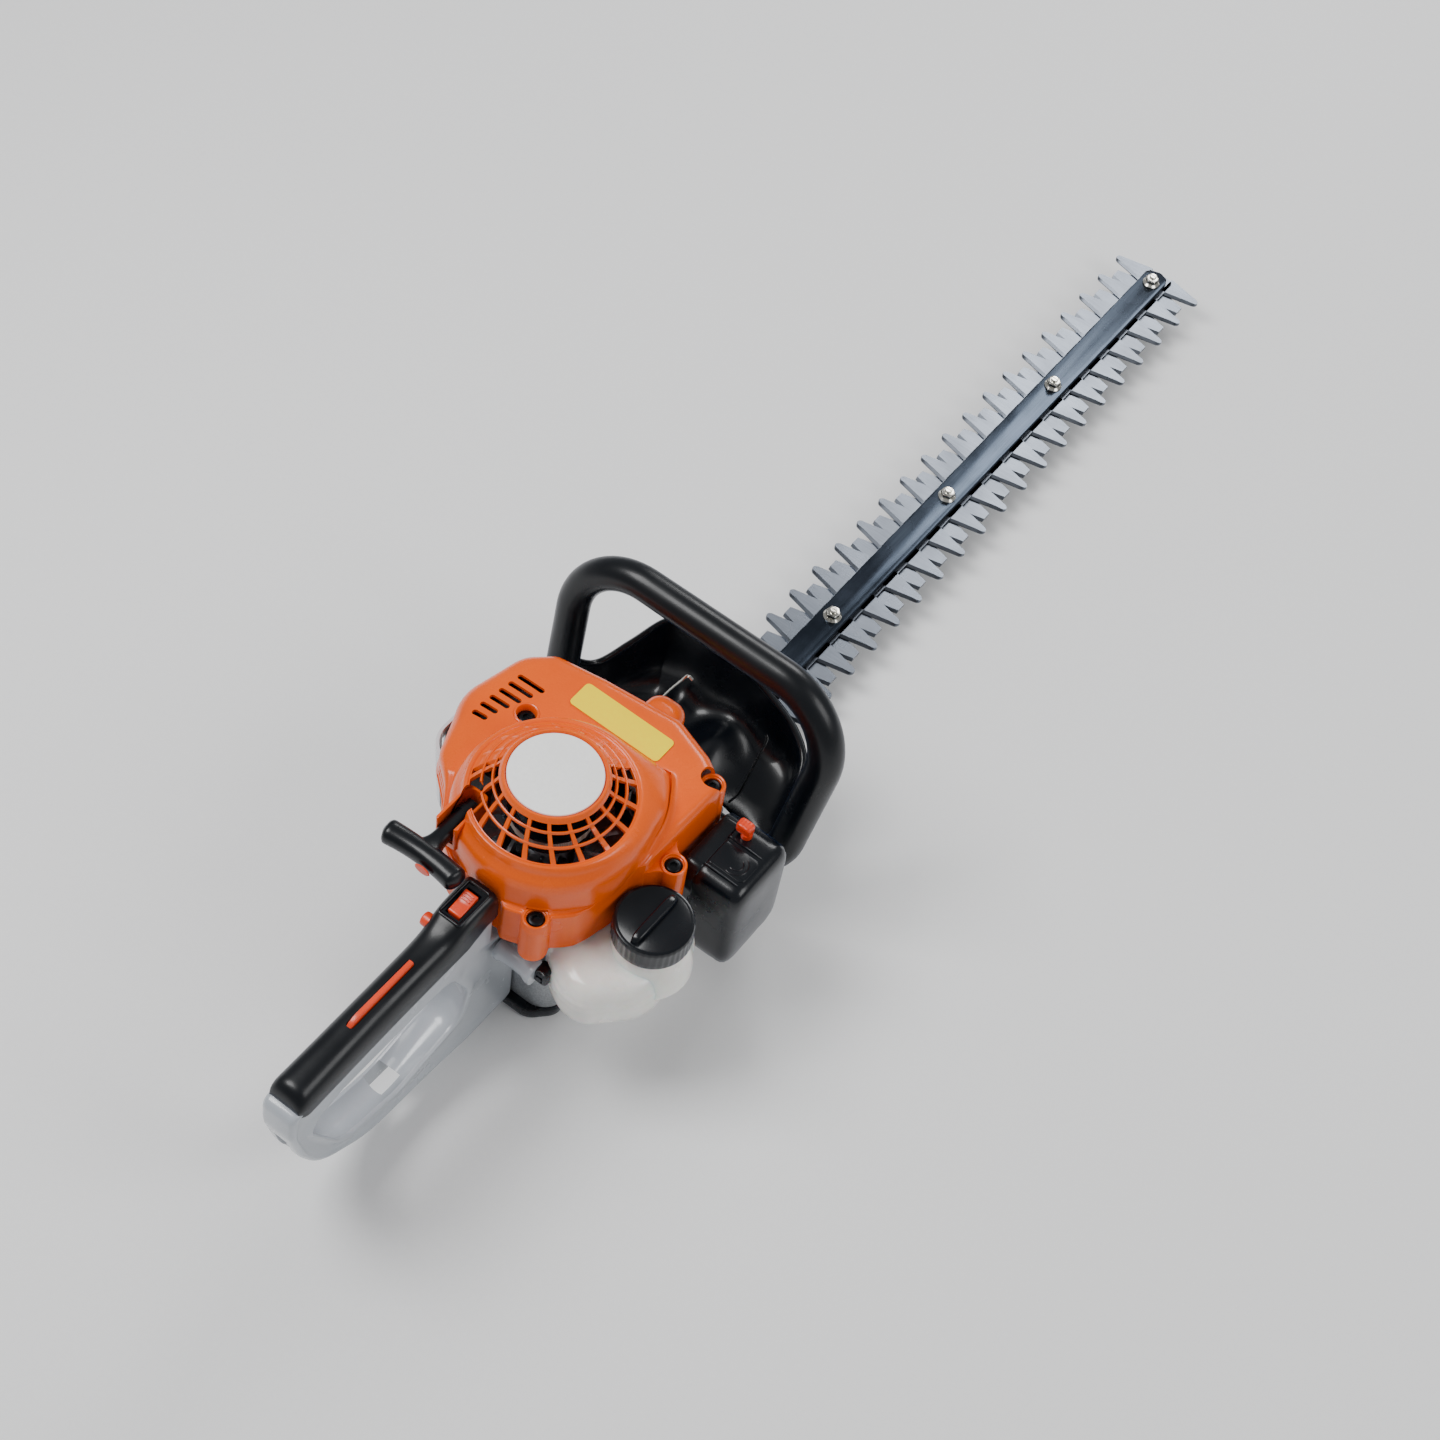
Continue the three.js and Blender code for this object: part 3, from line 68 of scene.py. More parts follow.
def write_mesh(name: str, points: Points, faces: list) -> bpy.types.Object:
    """Makes an object at the origin from points in millimetres and lists of corner numbers.

    Args:
        name: the piece's name.
        points: array of shape (n, 3).
        faces: the corner numbers of each face.

    Returns:
        The new object, linked to the scene.
    """
    mesh = bpy.data.meshes.new(name)
    mesh.from_pydata((np.asarray(points, float) * MM).tolist(), [], faces)
    made = bpy.data.objects.new(name, mesh)
    bpy.context.scene.collection.objects.link(made)
    return made


def weld(piece: bpy.types.Object, up: bool = False) -> bpy.types.Object:
    """Merges doubled points and turns the faces outwards.

    Args:
        piece: the object to mend.
        up: for an open skin, whether its faces point mostly upwards.

    Returns:
        The same object.
    """
    work = bmesh.new()
    work.from_mesh(piece.data)
    bmesh.ops.remove_doubles(work, verts=work.verts, dist=2e-6)
    bmesh.ops.dissolve_degenerate(work, edges=work.edges, dist=1e-7)
    if up:
        lift = sum(f.normal.z * f.calc_area() for f in work.faces)
        wrong = lift < 0
    else:
        bmesh.ops.recalc_face_normals(work, faces=work.faces)
        wrong = work.calc_volume(signed=True) < 0
    if wrong:
        bmesh.ops.reverse_faces(work, faces=work.faces)
    work.to_mesh(piece.data)
    work.free()
    return piece


def settle(piece: bpy.types.Object, kind: str, **settings: object) -> bpy.types.Object:
    """Adds one modifier and keeps its result as the piece's mesh.

    Args:
        piece: the object to change.
        kind: the modifier's type.
        settings: its properties.

    Returns:
        The same object with a new mesh.
    """
    modifier = piece.modifiers.new(kind.title(), kind)
    for key, value in settings.items():
        setattr(modifier, key, value)
    graph = bpy.context.evaluated_depsgraph_get()
    result = bpy.data.meshes.new_from_object(piece.evaluated_get(graph), depsgraph=graph)
    piece.modifiers.clear()
    piece.data = result
    return piece


def soften(piece: bpy.types.Object, width: float, segments: int = 2, angle: float = 40) -> bpy.types.Object:
    """Rounds the sharp edges.

    Args:
        piece: the object to change.
        width: how far each edge is cut back, in millimetres.
        segments: faces across a rounded edge.
        angle: the least angle of an edge that is rounded, in degrees.

    Returns:
        The same object.
    """
    return settle(
        piece,
        "BEVEL",
        width=width * MM,
        segments=segments,
        limit_method="ANGLE",
        angle_limit=math.radians(angle),
    )


def smooth(piece: bpy.types.Object, angle: float = 38) -> bpy.types.Object:
    """Shades the piece smooth but for its sharp edges.

    Args:
        piece: the object to shade.
        angle: the least angle of a sharp edge, in degrees.

    Returns:
        The same object.
    """
    piece.data.shade_smooth()
    piece.data.set_sharp_from_angle(angle=math.radians(angle))
    return piece


def carve(piece: bpy.types.Object, *tools: bpy.types.Object) -> bpy.types.Object:
    """Cuts closed tools out of a closed piece and removes the tools.

    Args:
        piece: the object to cut.
        tools: the closed objects that are taken out of it.

    Returns:
        The same object, without materials.
    """
    for tool in tools:
        settle(piece, "BOOLEAN", object=tool, operation="DIFFERENCE", solver="MANIFOLD")
        bpy.data.objects.remove(tool)
    piece.data.materials.clear()
    return piece


def merge(name: str, parts: list[bpy.types.Object]) -> bpy.types.Object:
    """Joins several closed shells into one piece.

    Args:
        name: the piece's name.
        parts: the shells, which are removed.

    Returns:
        The new object.
    """
    mesh = bpy.data.meshes.new(name)
    work = bmesh.new()
    for part in parts:
        work.from_mesh(part.data)
        bpy.data.objects.remove(part)
    work.to_mesh(mesh)
    work.free()
    made = bpy.data.objects.new(name, mesh)
    bpy.context.scene.collection.objects.link(made)
    return made


def surface(
    name: str,
    grid: Points,
    closed: bool = True,
    caps: bool = True,
    ring: bool = False,
    keep: Points | None = None,
) -> bpy.types.Object:
    """A quad surface over a grid of points; rows run along it and columns round it.

    Args:
        name: the piece's name.
        grid: array of shape (rows, columns, 3).
        closed: whether the last column joins the first.
        caps: whether the first and last rows are filled.
        ring: whether the last row joins the first.
        keep: which quads are made, of shape (rows - 1, columns).

    Returns:
        The welded object.
    """
    rows, cols = grid.shape[:2]
    down = np.arange(rows if ring else rows - 1)
    across = np.arange(cols if closed else cols - 1)
    i, j = np.meshgrid(down, across, indexing="ij")
    near = (j + 1) % cols
    below = (i + 1) % rows
    quads = np.stack([i * cols + j, i * cols + near, below * cols + near, below * cols + j], -1)
    chosen = quads[keep] if keep is not None else quads.reshape(-1, 4)
    faces = chosen.tolist()
    if caps and closed and not ring:
        first = list(range(cols))
        faces.append(first[::-1])
        faces.append([(rows - 1) * cols + k for k in first])
    made = write_mesh(name, grid.reshape(-1, 3), faces)
    return weld(made, up=keep is not None)


def prism(
    name: str, outline: Points, axis: str, low: float, high: float, edge: float = 0, segments: int = 3
) -> bpy.types.Object:
    """An outline given a thickness along an axis, with its rims rounded.

    Args:
        name: the piece's name.
        outline: points of shape (n, 2) in the other two axes, in x, y, z order.
        axis: "x", "y" or "z".
        low: where it starts along the axis.
        high: where it ends.
        edge: how far its rims are rounded.
        segments: faces across a rounded rim.

    Returns:
        The object.
    """
    first = np.insert(outline, "xyz".index(axis), low, axis=1)
    last = np.insert(outline, "xyz".index(axis), high, axis=1)
    made = surface(name, np.stack([first, last]))
    return soften(made, edge, segments) if edge else made


def turned(
    name: str, profile: list | Line | Points, at: Points, axis: str = "z", steps: int = 64, ring: bool = False
) -> bpy.types.Object:
    """A profile of [radius, height] points carried round an axis through `at`.

    Args:
        name: the piece's name.
        profile: points of shape (n, 2); a closed loop if `ring` is set.
        at: the point where height is 0.
        axis: "x", "y" or "z".
        steps: faces round it.
        ring: whether the profile closes on itself.

    Returns:
        The object.
    """
    radius, height = np.asarray(profile, float).T
    angle = np.linspace(0, TURN, steps, endpoint=False)
    across = np.outer(radius, np.cos(angle))
    over = np.outer(radius, np.sin(angle))
    along = np.repeat(height[:, None], steps, axis=1)
    order = {"x": (along, across, over), "y": (over, along, across), "z": (across, over, along)}[axis]
    grid = np.stack(order, -1) + np.asarray(at, float)
    return surface(name, grid, caps=False, ring=ring)


def rounded(points: list | Line, step: float = 1.5, closed: bool = True) -> Points:
    """A polyline whose corners [x, y, radius] are arcs, as evenly spaced points.

    Args:
        points: the corners.
        step: greatest spacing of the points.
        closed: whether the last corner joins the first.

    Returns:
        Points of shape (n, 2).
    """
    spots = np.array([p[:2] for p in points], float)
    path: list[Points] = []
    for k, corner in enumerate(spots):
        radius = points[k][2] if len(points[k]) > 2 else 0
        if radius == 0 or (not closed and k in (0, len(points) - 1)):
            path.append(corner[None])
            continue
        back = spots[k - 1] - corner
        ahead = spots[(k + 1) % len(spots)] - corner
        room = 0.49 * min(np.linalg.norm(back), np.linalg.norm(ahead))
        back, ahead = back / np.linalg.norm(back), ahead / np.linalg.norm(ahead)
        half = math.acos(max(-1, min(1, float(back @ ahead)))) / 2
        radius = min(radius, room * math.tan(half))
        middle = (back + ahead) / max(1e-9, np.linalg.norm(back + ahead))
        centre = corner + middle * radius / math.sin(half)
        start = corner + back * radius / math.tan(half) - centre
        sweep = -math.copysign(math.pi - 2 * half, float(back[0] * ahead[1] - back[1] * ahead[0]))
        turn = np.linspace(0, sweep, max(3, int(abs(sweep) * radius / step) + 2))
        cos, sin = np.cos(turn), np.sin(turn)
        path.append(
            centre + np.stack([start[0] * cos - start[1] * sin, start[0] * sin + start[1] * cos], -1)
        )
    line = np.concatenate(path)
    ends = np.concatenate([line, line[:1]]) if closed else line
    length = np.concatenate([[0], np.cumsum(np.linalg.norm(np.diff(ends, axis=0), axis=1))])
    fill = np.arange(0, length[-1], step)
    stations = np.unique(np.round(np.concatenate([length[:-1] if closed else length, fill]), 3))
    keepers = stations[np.concatenate([[True], np.diff(stations) > 0.25 * step])]
    return np.stack([np.interp(keepers, length, ends[:, k]) for k in (0, 1)], -1)


def square(x0: float, y0: float, x1: float, y1: float) -> Points:
    """The four corners of an upright rectangle."""
    return np.array([(x0, y0), (x1, y0), (x1, y1), (x0, y1)])


def oblong(x0: float, y0: float, x1: float, y1: float, radius: float, step: float = 1.5) -> Points:
    """An upright rectangle whose corners are arcs of one radius."""
    return rounded([(x, y, radius) for x, y in square(x0, y0, x1, y1).tolist()], step)


def reach(outline: Points, centre: Points, angles: Points) -> Points:
    """How far an outline lies from a centre inside it.

    Args:
        outline: its points, of shape (n, 2).
        centre: the point inside it.
        angles: the directions, in radians.

    Returns:
        One distance for each direction.
    """
    arms = outline - centre
    turn = np.mod(np.arctan2(arms[:, 1], arms[:, 0]), TURN)
    order = np.argsort(turn)
    return np.interp(np.mod(angles, TURN), turn[order], np.linalg.norm(arms, axis=1)[order], period=TURN)


def sweep(
    name: str, path: Points, width: Points | float, height: Points | float, up: Points, steps: int = 24,
    power: float = 2, ring: bool = False
) -> bpy.types.Object:
    """An oval section carried along a path.

    The section is a superellipse: |x/width|^power + |y/height|^power = 1.

    Args:
        name: the piece's name.
        path: points of shape (n, 3).
        width: half the section's size across the path and `up`, at each point.
        height: half its size along `up`.
        up: a direction that is nowhere along the path.
        steps: points round the section.
        power: 2 for an oval, more for a squarer section.
        ring: whether the path closes on itself.

    Returns:
        The object.
    """
    path = np.asarray(path, float)
    ahead = np.roll(path, -1, 0) - np.roll(path, 1, 0) if ring else np.gradient(path, axis=0)
    ahead /= np.linalg.norm(ahead, axis=1)[:, None]
    side = np.cross(ahead, np.asarray(up, float))
    side /= np.linalg.norm(side, axis=1)[:, None]
    over = np.cross(side, ahead)
    angle = np.linspace(0, TURN, steps, endpoint=False)
    cos, sin = np.cos(angle), np.sin(angle)
    across = np.sign(cos) * np.abs(cos) ** (2 / power)
    rise = np.sign(sin) * np.abs(sin) ** (2 / power)
    wide = np.broadcast_to(np.asarray(width, float), len(path))[:, None, None]
    tall = np.broadcast_to(np.asarray(height, float), len(path))[:, None, None]
    grid = path[:, None] + side[:, None] * wide * across[:, None] + over[:, None] * tall * rise[:, None]
    return surface(name, grid, ring=ring)


def curve_through(points: list | Line, count: int) -> Points:
    """A smooth line through points: a cubic whose slope at each is half its neighbours' chord.

    Args:
        points: where it passes.
        count: how many points it is given.

    Returns:
        Points of shape (count, 3).
    """
    spots = np.asarray(points, float)
    slope = np.gradient(spots, axis=0)
    t = np.linspace(0, len(spots) - 1, count)
    k = np.minimum(t.astype(int), len(spots) - 2)
    f = (t - k)[:, None]
    start, end, ahead, after = spots[k], spots[k + 1], slope[k], slope[k + 1]
    return (
        start * (1 + 2 * f) * (1 - f) ** 2
        + ahead * f * (1 - f) ** 2
        + end * f**2 * (3 - 2 * f)
        + after * f**2 * (f - 1)
    )


def blob(name: str, low: Points, high: Points, power: float = 5, steps: int = 40) -> bpy.types.Object:
    """A box with full rounded sides: |x/a|^p + |y/b|^p + |z/c|^p = 1 between two corners.

    Each direction of a ball is stretched until it meets that surface.

    Args:
        name: the piece's name.
        low: its lowest corner.
        high: its highest corner.
        power: p, more for a squarer box.
        steps: rows from pole to pole.

    Returns:
        The object.
    """
    low, high = np.asarray(low, float), np.asarray(high, float)
    tilt = np.linspace(0, math.pi, steps)[:, None]
    turn = np.linspace(0, TURN, 2 * steps, endpoint=False)[None]
    squeeze = 0.25 * np.sin(4 * turn)
    turn = turn - 0.6 * squeeze
    tilt = tilt - 0.15 * np.sin(4 * tilt)
    ball = np.stack(
        [np.sin(tilt) * np.cos(turn), np.sin(tilt) * np.sin(turn), np.cos(tilt) * np.ones_like(turn)], -1
    )
    stretch = (np.abs(ball) ** power).sum(-1, keepdims=True) ** (-1 / power)
    return surface(name, (low + high) / 2 + ball * stretch * (high - low) / 2, caps=False)


# ------------------------------------------------------------------ finishes
def linear(colour: str) -> tuple[float, float, float, float]:
    """An sRGB hex colour as linear red, green, blue and alpha."""
    parts = [int(colour[k : k + 2], 16) / 255 for k in (0, 2, 4)]
    return (*[p / 12.92 if p <= 0.04045 else ((p + 0.055) / 1.055) ** 2.4 for p in parts], 1.0)


def add_node(
    tree: bpy.types.NodeTree, kind: str, inputs: dict | None = None, **settings: object
) -> bpy.types.Node:
    """Adds a node with its settings.

    Args:
        tree: the material's nodes.
        kind: the node's type.
        inputs: for each socket, a socket to link to it or a value to set.
        settings: the node's own properties.

    Returns:
        The new node.
    """
    node = tree.nodes.new(kind)
    for key, value in settings.items():
        setattr(node, key, value)
    for socket, value in (inputs or {}).items():
        if isinstance(value, bpy.types.NodeSocket):
            tree.links.new(value, node.inputs[socket])
        else:
            node.inputs[socket].default_value = value
    return node


class Grain(Enum):
    """How a surface was made, which sets its fine pattern."""

    MOULDED = "spark-eroded mould texture"
    BRUSHED = "ground or drawn lines along one way"
    CAST = "sand-cast or die-cast skin"
    PORES = "open foam cells"
    BRAID = "crossed yarns"


@dataclass(frozen=True)
class Finish:
    """One material: what it is, and how its surface was made."""

    name: str
    colour: str
    shade: str
    grain: Grain = Grain.MOULDED
    roughness: float = 0.4
    rough_change: float = 0.08
    metallic: float = 0.0
    grain_mm: float = 1.2
    depth_mm: float = 0.02
    patch_mm: float = 45.0
    lines: tuple[float, float, float] = (1.0, 1.0, 1.0)
    coat: float = 0.0
    sheen: float = 0.0
    sheen_colour: str = "ffffff"
    clear: float = 0.0
    soft_mm: float = 0.0
    ior: float = 1.5

    def pattern(self, tree: bpy.types.NodeTree, place: bpy.types.NodeSocket) -> bpy.types.NodeSocket:
        """The fine pattern's height, from 0 to 1.

        Args:
            tree: the material's nodes.
            place: Object coordinates, in metres.

        Returns:
            The socket that holds the height.
        """
        scale = 1 / (self.grain_mm * MM)
        stretched = add_node(
            tree, "ShaderNodeMapping", {"Vector": place, "Scale": tuple(scale * s for s in self.lines)}
        ).outputs["Vector"]
        if self.grain in (Grain.PORES, Grain.CAST):
            cells = add_node(
                tree, "ShaderNodeTexVoronoi", {"Vector": stretched, "Scale": 1.0, "Randomness": 1.0}
            )
            return cells.outputs["Distance"]
        if self.grain is Grain.BRAID:
            wave = add_node(
                tree, "ShaderNodeTexWave", {"Vector": stretched, "Scale": 1.0, "Distortion": 1.5}
            )
            return wave.outputs["Fac"]
        noise = add_node(
            tree, "ShaderNodeTexNoise", {"Vector": stretched, "Scale": 1.0, "Detail": 3.0, "Roughness": 0.6}
        )
        return noise.outputs["Fac"]

    def material(self) -> bpy.types.Material:
        """The material, made once and shared by all pieces of this finish.

        Returns:
            The material.
        """
        found = bpy.data.materials.get(self.name)
        if found:
            return found
        made = bpy.data.materials.new(self.name)
        made.use_nodes = True
        tree = made.node_tree
        tree.nodes.clear()
        place = add_node(tree, "ShaderNodeTexCoord").outputs["Object"]
        patches = add_node(
            tree,
            "ShaderNodeTexNoise",
            {"Vector": place, "Scale": 1 / (self.patch_mm * MM), "Detail": 4.0, "Roughness": 0.55},
        ).outputs["Fac"]
        height = self.pattern(tree, place)
        blend = add_node(
            tree, "ShaderNodeMath", {0: patches, 1: height}, operation="MULTIPLY"
        ).outputs["Value"]
        tint = add_node(
            tree,
            "ShaderNodeMapRange",
            {"Value": blend, "From Min": 0.08, "From Max": 0.45},
        ).outputs["Result"]
        colour = add_node(
            tree,
            "ShaderNodeMix",
            {"Factor": tint, "A": linear(self.shade), "B": linear(self.colour)},
            data_type="RGBA",
        ).outputs["Result"]
        rough = add_node(
            tree,
            "ShaderNodeMapRange",
            {
                "Value": patches,
                "From Min": 0.3,
                "From Max": 0.7,
                "To Min": self.roughness - self.rough_change,
                "To Max": self.roughness + self.rough_change,
            },
        ).outputs["Result"]
        bump = add_node(
            tree,
            "ShaderNodeBump",
            {"Height": height, "Strength": 0.5, "Distance": self.depth_mm * MM},
        ).outputs["Normal"]
        shader = add_node(
            tree,
            "ShaderNodeBsdfPrincipled",
            {
                "Base Color": colour,
                "Roughness": rough,
                "Normal": bump,
                "Metallic": self.metallic,
                "IOR": self.ior,
                "Coat Weight": self.coat,
                "Coat Roughness": 0.12,
                "Sheen Weight": self.sheen,
                "Sheen Tint": linear(self.sheen_colour),
                "Sheen Roughness": 0.35,
                "Transmission Weight": self.clear,
                "Subsurface Weight": 0.35 if self.soft_mm else 0.0,
                "Subsurface Scale": max(self.soft_mm, 1.0) * MM,
            },
        )
        add_node(tree, "ShaderNodeOutputMaterial", {"Surface": shader.outputs["BSDF"]})
        return made


# Injection-moulded ABS with a polished mould: a clean, slightly wet-looking orange.
ORANGE = Finish("moulded orange ABS", "F26200", "E65600", roughness=0.26, depth_mm=0.01, coat=0.16,
    rough_change=0.03, ior=1.4)
# Glass-filled nylon: near black with a faint blue sheen where it turns away.
BLACK = Finish(
    "black glass-filled nylon", "080D14", "05080D", roughness=0.26, coat=0.14, sheen=0.16,
    sheen_colour="2F5C9A", depth_mm=0.02, grain_mm=1.0, ior=1.4,
)
# The same nylon from a coarser mould, for grips that a hand holds.
GRIP_BLACK = Finish(
    "textured black nylon", "070B11", "04070B", roughness=0.33, coat=0.08, sheen=0.14,
    sheen_colour="2F5C9A", depth_mm=0.05, grain_mm=1.4, ior=1.4,
)
# Grey nylon: even, satin, slightly cool.
GREY = Finish("grey moulded nylon", "B3B8BE", "ADB2B9", roughness=0.25, coat=0.4, depth_mm=0.01,
    rough_change=0.03)
# Blown polythene: milky, a little light goes into it, slightly wavy skin.
TANK_WHITE = Finish(
    "milky blown polythene", "F6F4EF", "E9E6DE", roughness=0.24, soft_mm=4.0, depth_mm=0.05, grain_mm=9.0,
    coat=0.3, patch_mm=25.0,
)
# Ground blade steel: fine lines across the blade, bright where ground.
CUTTER_STEEL = Finish(
    "ground blade steel", "70757D", "5D626A", Grain.BRUSHED, roughness=0.3, metallic=1.0,
    lines=(0.04, 1.0, 1.0), grain_mm=0.8, depth_mm=0.01,
)
# The tooth's ground flank where it faces rearwards: the same steel painted near black, painted shade for the
# shadow on that side.
REAR_FLANK_PAINTED_SHADE = Finish(
    "rear flank with painted shade", "15181C", "0E1013", Grain.BRUSHED, roughness=0.4, metallic=0.6,
    lines=(1.0, 0.1, 1.0), grain_mm=0.8, depth_mm=0.01,
)
# Hardened bar steel: blue-grey, drawn along its length.
BAR_STEEL = Finish(
    "hardened bar steel", "424A55", "333A44", Grain.BRUSHED, roughness=0.24, metallic=1.0,
    lines=(1.0, 0.03, 1.0), grain_mm=0.9, depth_mm=0.008,
)
# Bright zinc plate with a trace of yellow.
ZINC = Finish(
    "zinc-plated steel", "E0DFDA", "C9C6BB", roughness=0.2, metallic=1.0, grain_mm=0.8, depth_mm=0.01
)
# Turned and milled steel.
MACHINED = Finish(
    "machined steel", "B9BCC0", "A3A6AA", Grain.BRUSHED, roughness=0.28, metallic=1.0,
    lines=(1.0, 1.0, 0.1), grain_mm=0.6, depth_mm=0.01,
)
# Die-cast aluminium: dull, with a fine pitted skin.
CAST = Finish(
    "die-cast aluminium", "B2B5B8", "989B9F", Grain.CAST, roughness=0.5, metallic=1.0, grain_mm=1.3,
    depth_mm=0.05,
)
# Sheet steel tinted brown and blue by exhaust heat.
HEATED = Finish("heat-tinted sheet steel", "4A4542", "2C2D33", roughness=0.48, metallic=1.0, patch_mm=14.0)
# Pressed aluminium cover with a satin grey paint.
GUARD_GREY = Finish("satin grey painted sheet", "E2E4E7", "D4D7DB", roughness=0.28, coat=0.4)
# Vinyl film: one even, almost matt colour.
YELLOW_FILM = Finish(
    "yellow vinyl film", "FFE600", "FFDE00", roughness=0.7, depth_mm=0.004, grain_mm=3.0, ior=1.12
)
WHITE_FILM = Finish(
    "white printed disc", "FFFFFD", "F6F5F2", roughness=0.3, coat=0.3, depth_mm=0.004, grain_mm=3.0
)
# Orange-red acetal of the controls: waxy, a little deeper than the housing.
CONTROL = Finish("orange-red acetal", "F4491A", "E03C12", roughness=0.3, coat=0.1, depth_mm=0.015)
# Oxide-black socket screws.
BLACK_OXIDE = Finish("black-oxide steel", "26282B", "17181A", roughness=0.3, metallic=0.8, depth_mm=0.01)
RUBBER = Finish("moulded rubber", "1D1D1E", "131314", roughness=0.72, depth_mm=0.04, grain_mm=0.9)
FOAM = Finish("filter foam", "45443F", "26251F", Grain.PORES, roughness=0.9, depth_mm=0.3, grain_mm=1.6)
ROPE = Finish(
    "braided rope", "E8E5DC", "BFBAAC", Grain.BRAID, roughness=0.8, depth_mm=0.25, grain_mm=2.2
)
FLOOR = Finish(
    "pale painted floor", "F3F3F3", "F0F0F0", roughness=0.75, depth_mm=0.01, grain_mm=4.0, patch_mm=900.0
)


def dress(piece: bpy.types.Object, *finishes: Finish) -> bpy.types.Object:
    """Gives a piece its finishes, in slot order.

    Args:
        piece: the object.
        finishes: its materials.

    Returns:
        The same object.
    """
    piece.data.materials.clear()
    for finish in finishes:
        piece.data.materials.append(finish.material())
    return piece


def fit(piece: bpy.types.Object, finish: Finish, body: str, slot: str, *nodes: str) -> bpy.types.Object:
    """Finishes a piece: shading, material, the body it rides on and the CAD nodes it stands for.

    Args:
        piece: the object.
        finish: its material.
        body: the CAD body it moves with.
        slot: the record's material slot; not used.
        nodes: the CAD nodes that it replaces.

    Returns:
        The same object.
    """
    if not piece.data.materials:
        dress(piece, finish)
    smooth(piece)
    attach(piece, body)
    if nodes:
        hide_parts(*nodes)
    LOG.info("%s: %d faces on %s", piece.name, len(piece.data.polygons), body)
    return piece


# ------------------------------------------------------------------ blade
@dataclass
class Blade:
    """Two toothed cutters under a guide bar that four bolts hold."""

    pitch: float = 30.0
    teeth: int = 20
    first_tooth: float = 263.0
    thickness: float = 2.5
    spine: float = 12.5
    bolts: int = 4
    # Reach from the middle, half width at the tip and half width at the spine.
    long_tooth: tuple[float, float, float] = (40.5, 3.0, 9.5)
    short_tooth: tuple[float, float, float] = (32.0, 5.0, 10.0)
    flank: float = 1.9
    slot_half: float = 3.3
    slot_reach: float = 11.0
    eye_bore: float = 28.6
    eye_rim: float = 33.1
    nut_flange: Line = ((0, 0), (7, 0), (7.1, 0.7), (6.4, 1.4), (5.6, 2.2), (0, 2.4))
    nut_crown: Line = ((0, 0), (4.9, 0), (4.4, 0.8), (3.4, 1.0), (0, 1.0))
    nut_corner: float = 5.7
    head_corner: float = 5.5
    shank: float = 3.0

    def teeth_of(self, bottom: float, long: bool) -> list[bpy.types.Object]:
        """The teeth of one cutter, each a closed blade with a ground flank on both edges.

        A tooth's half width falls in a straight line from spine to tip, and its end is half an oval
        for a long tooth or blunt for a short one. Across it the thickness is full in the middle and
        a third at the edges.

        Args:
            bottom: underside of the cutter.
            long: whether these are the long, round-tipped teeth.

        Returns:
            One object for each side.
        """
        end, tip_half, base = self.long_tooth if long else self.short_tooth
        count = self.teeth if long else self.teeth - 1
        first = self.first_tooth if long else self.first_tooth + self.pitch / 2
        u = 1 - (1 - np.linspace(0, 1, 20)) ** 2.2
        x = (self.spine - 3) + (end - self.spine + 3) * u
        half = base + (tip_half - base) * np.clip((x - self.spine) / (end - self.spine), -0.05, 1)
        if long:
            near_tip = np.clip((x - (end - tip_half)) / tip_half, 0, 1)
            half = half * np.sqrt(np.maximum(1 - near_tip**2, 0.03))
        thin = 0.3 * self.thickness
        top = bottom + self.thickness
        flank = np.minimum(self.flank, 0.4 * half)
        across = np.stack([-half, -half, -half + flank, half - 0.35 * flank, half, half], -1)
        level = np.array([bottom, bottom + thin, top, top, bottom + thin, bottom])
        one = np.stack([np.repeat(x[:, None], 6, 1), across, np.repeat(level[None], len(x), 0)], -1)
        made = []
        for side in (-1, 1):
            centres = first + self.pitch * np.arange(count)
            for k, centre in enumerate(centres):
                grid = one * [side, 1, 1] + [0, centre, 0]
                tooth = surface(f"tooth_{side}_{k}", grid)
                normals = np.zeros(len(tooth.data.polygons) * 3)
                tooth.data.polygons.foreach_get("normal", normals)
                slope = normals.reshape(-1, 3)[:, 2]
                # Painted shade: steep faces turned rearwards take the dark finish in slot 1, while the
                # forward-facing flank keeps the bright steel.
                rear_painted_shade = (slope < 0.97) & (normals.reshape(-1, 3)[:, 1] < -0.05)
                tooth.data.polygons.foreach_set("material_index", rear_painted_shade.astype(np.int32))
                made.append(tooth)
        return made

    def cutter(self, node: str, body: str, long: bool) -> None:
        """One cutter: its teeth, its slotted spine and its driving eye.

        Args:
            node: the CAD node that it stands for.
            body: the body it rides on.
            long: whether it has the long teeth.
        """
        low, high = corners(node)
        bottom, top = low[2], high[2]
        front = high[1] - 2
        outline = rounded([
            (-self.spine, 100, 0), (self.spine, 100, 0), (self.spine, front, 5), (-self.spine, front, 5),
        ], 6)
        spine = prism(f"{node}_spine", outline, "z", bottom, top)
        slots = []
        for k in range(self.bolts):
            y = (sum(corners(f"blade_bolt_{k + 1}")) / 2)[1]
            gap = oblong(-self.slot_half, y - self.slot_reach, self.slot_half, y + self.slot_reach, 3.2)
            slots.append(prism("slot", gap, "z", bottom - 1, top + 1))
        carve(spine, *slots)
        eye = turned(
            f"{node}_eye",
            [(self.eye_bore, bottom), (self.eye_rim, bottom), (self.eye_rim, top), (self.eye_bore, top)],
            (0, low[1] + self.eye_rim, 0), ring=True, steps=72,
        )
        shells = [spine, eye, *self.teeth_of(bottom, long)]
        made = dress(merge(f"{node}_ground", shells), CUTTER_STEEL, REAR_FLANK_PAINTED_SHADE)
        fit(made, CUTTER_STEEL, body, "cutter_steel", node)
        smooth(made, 15)

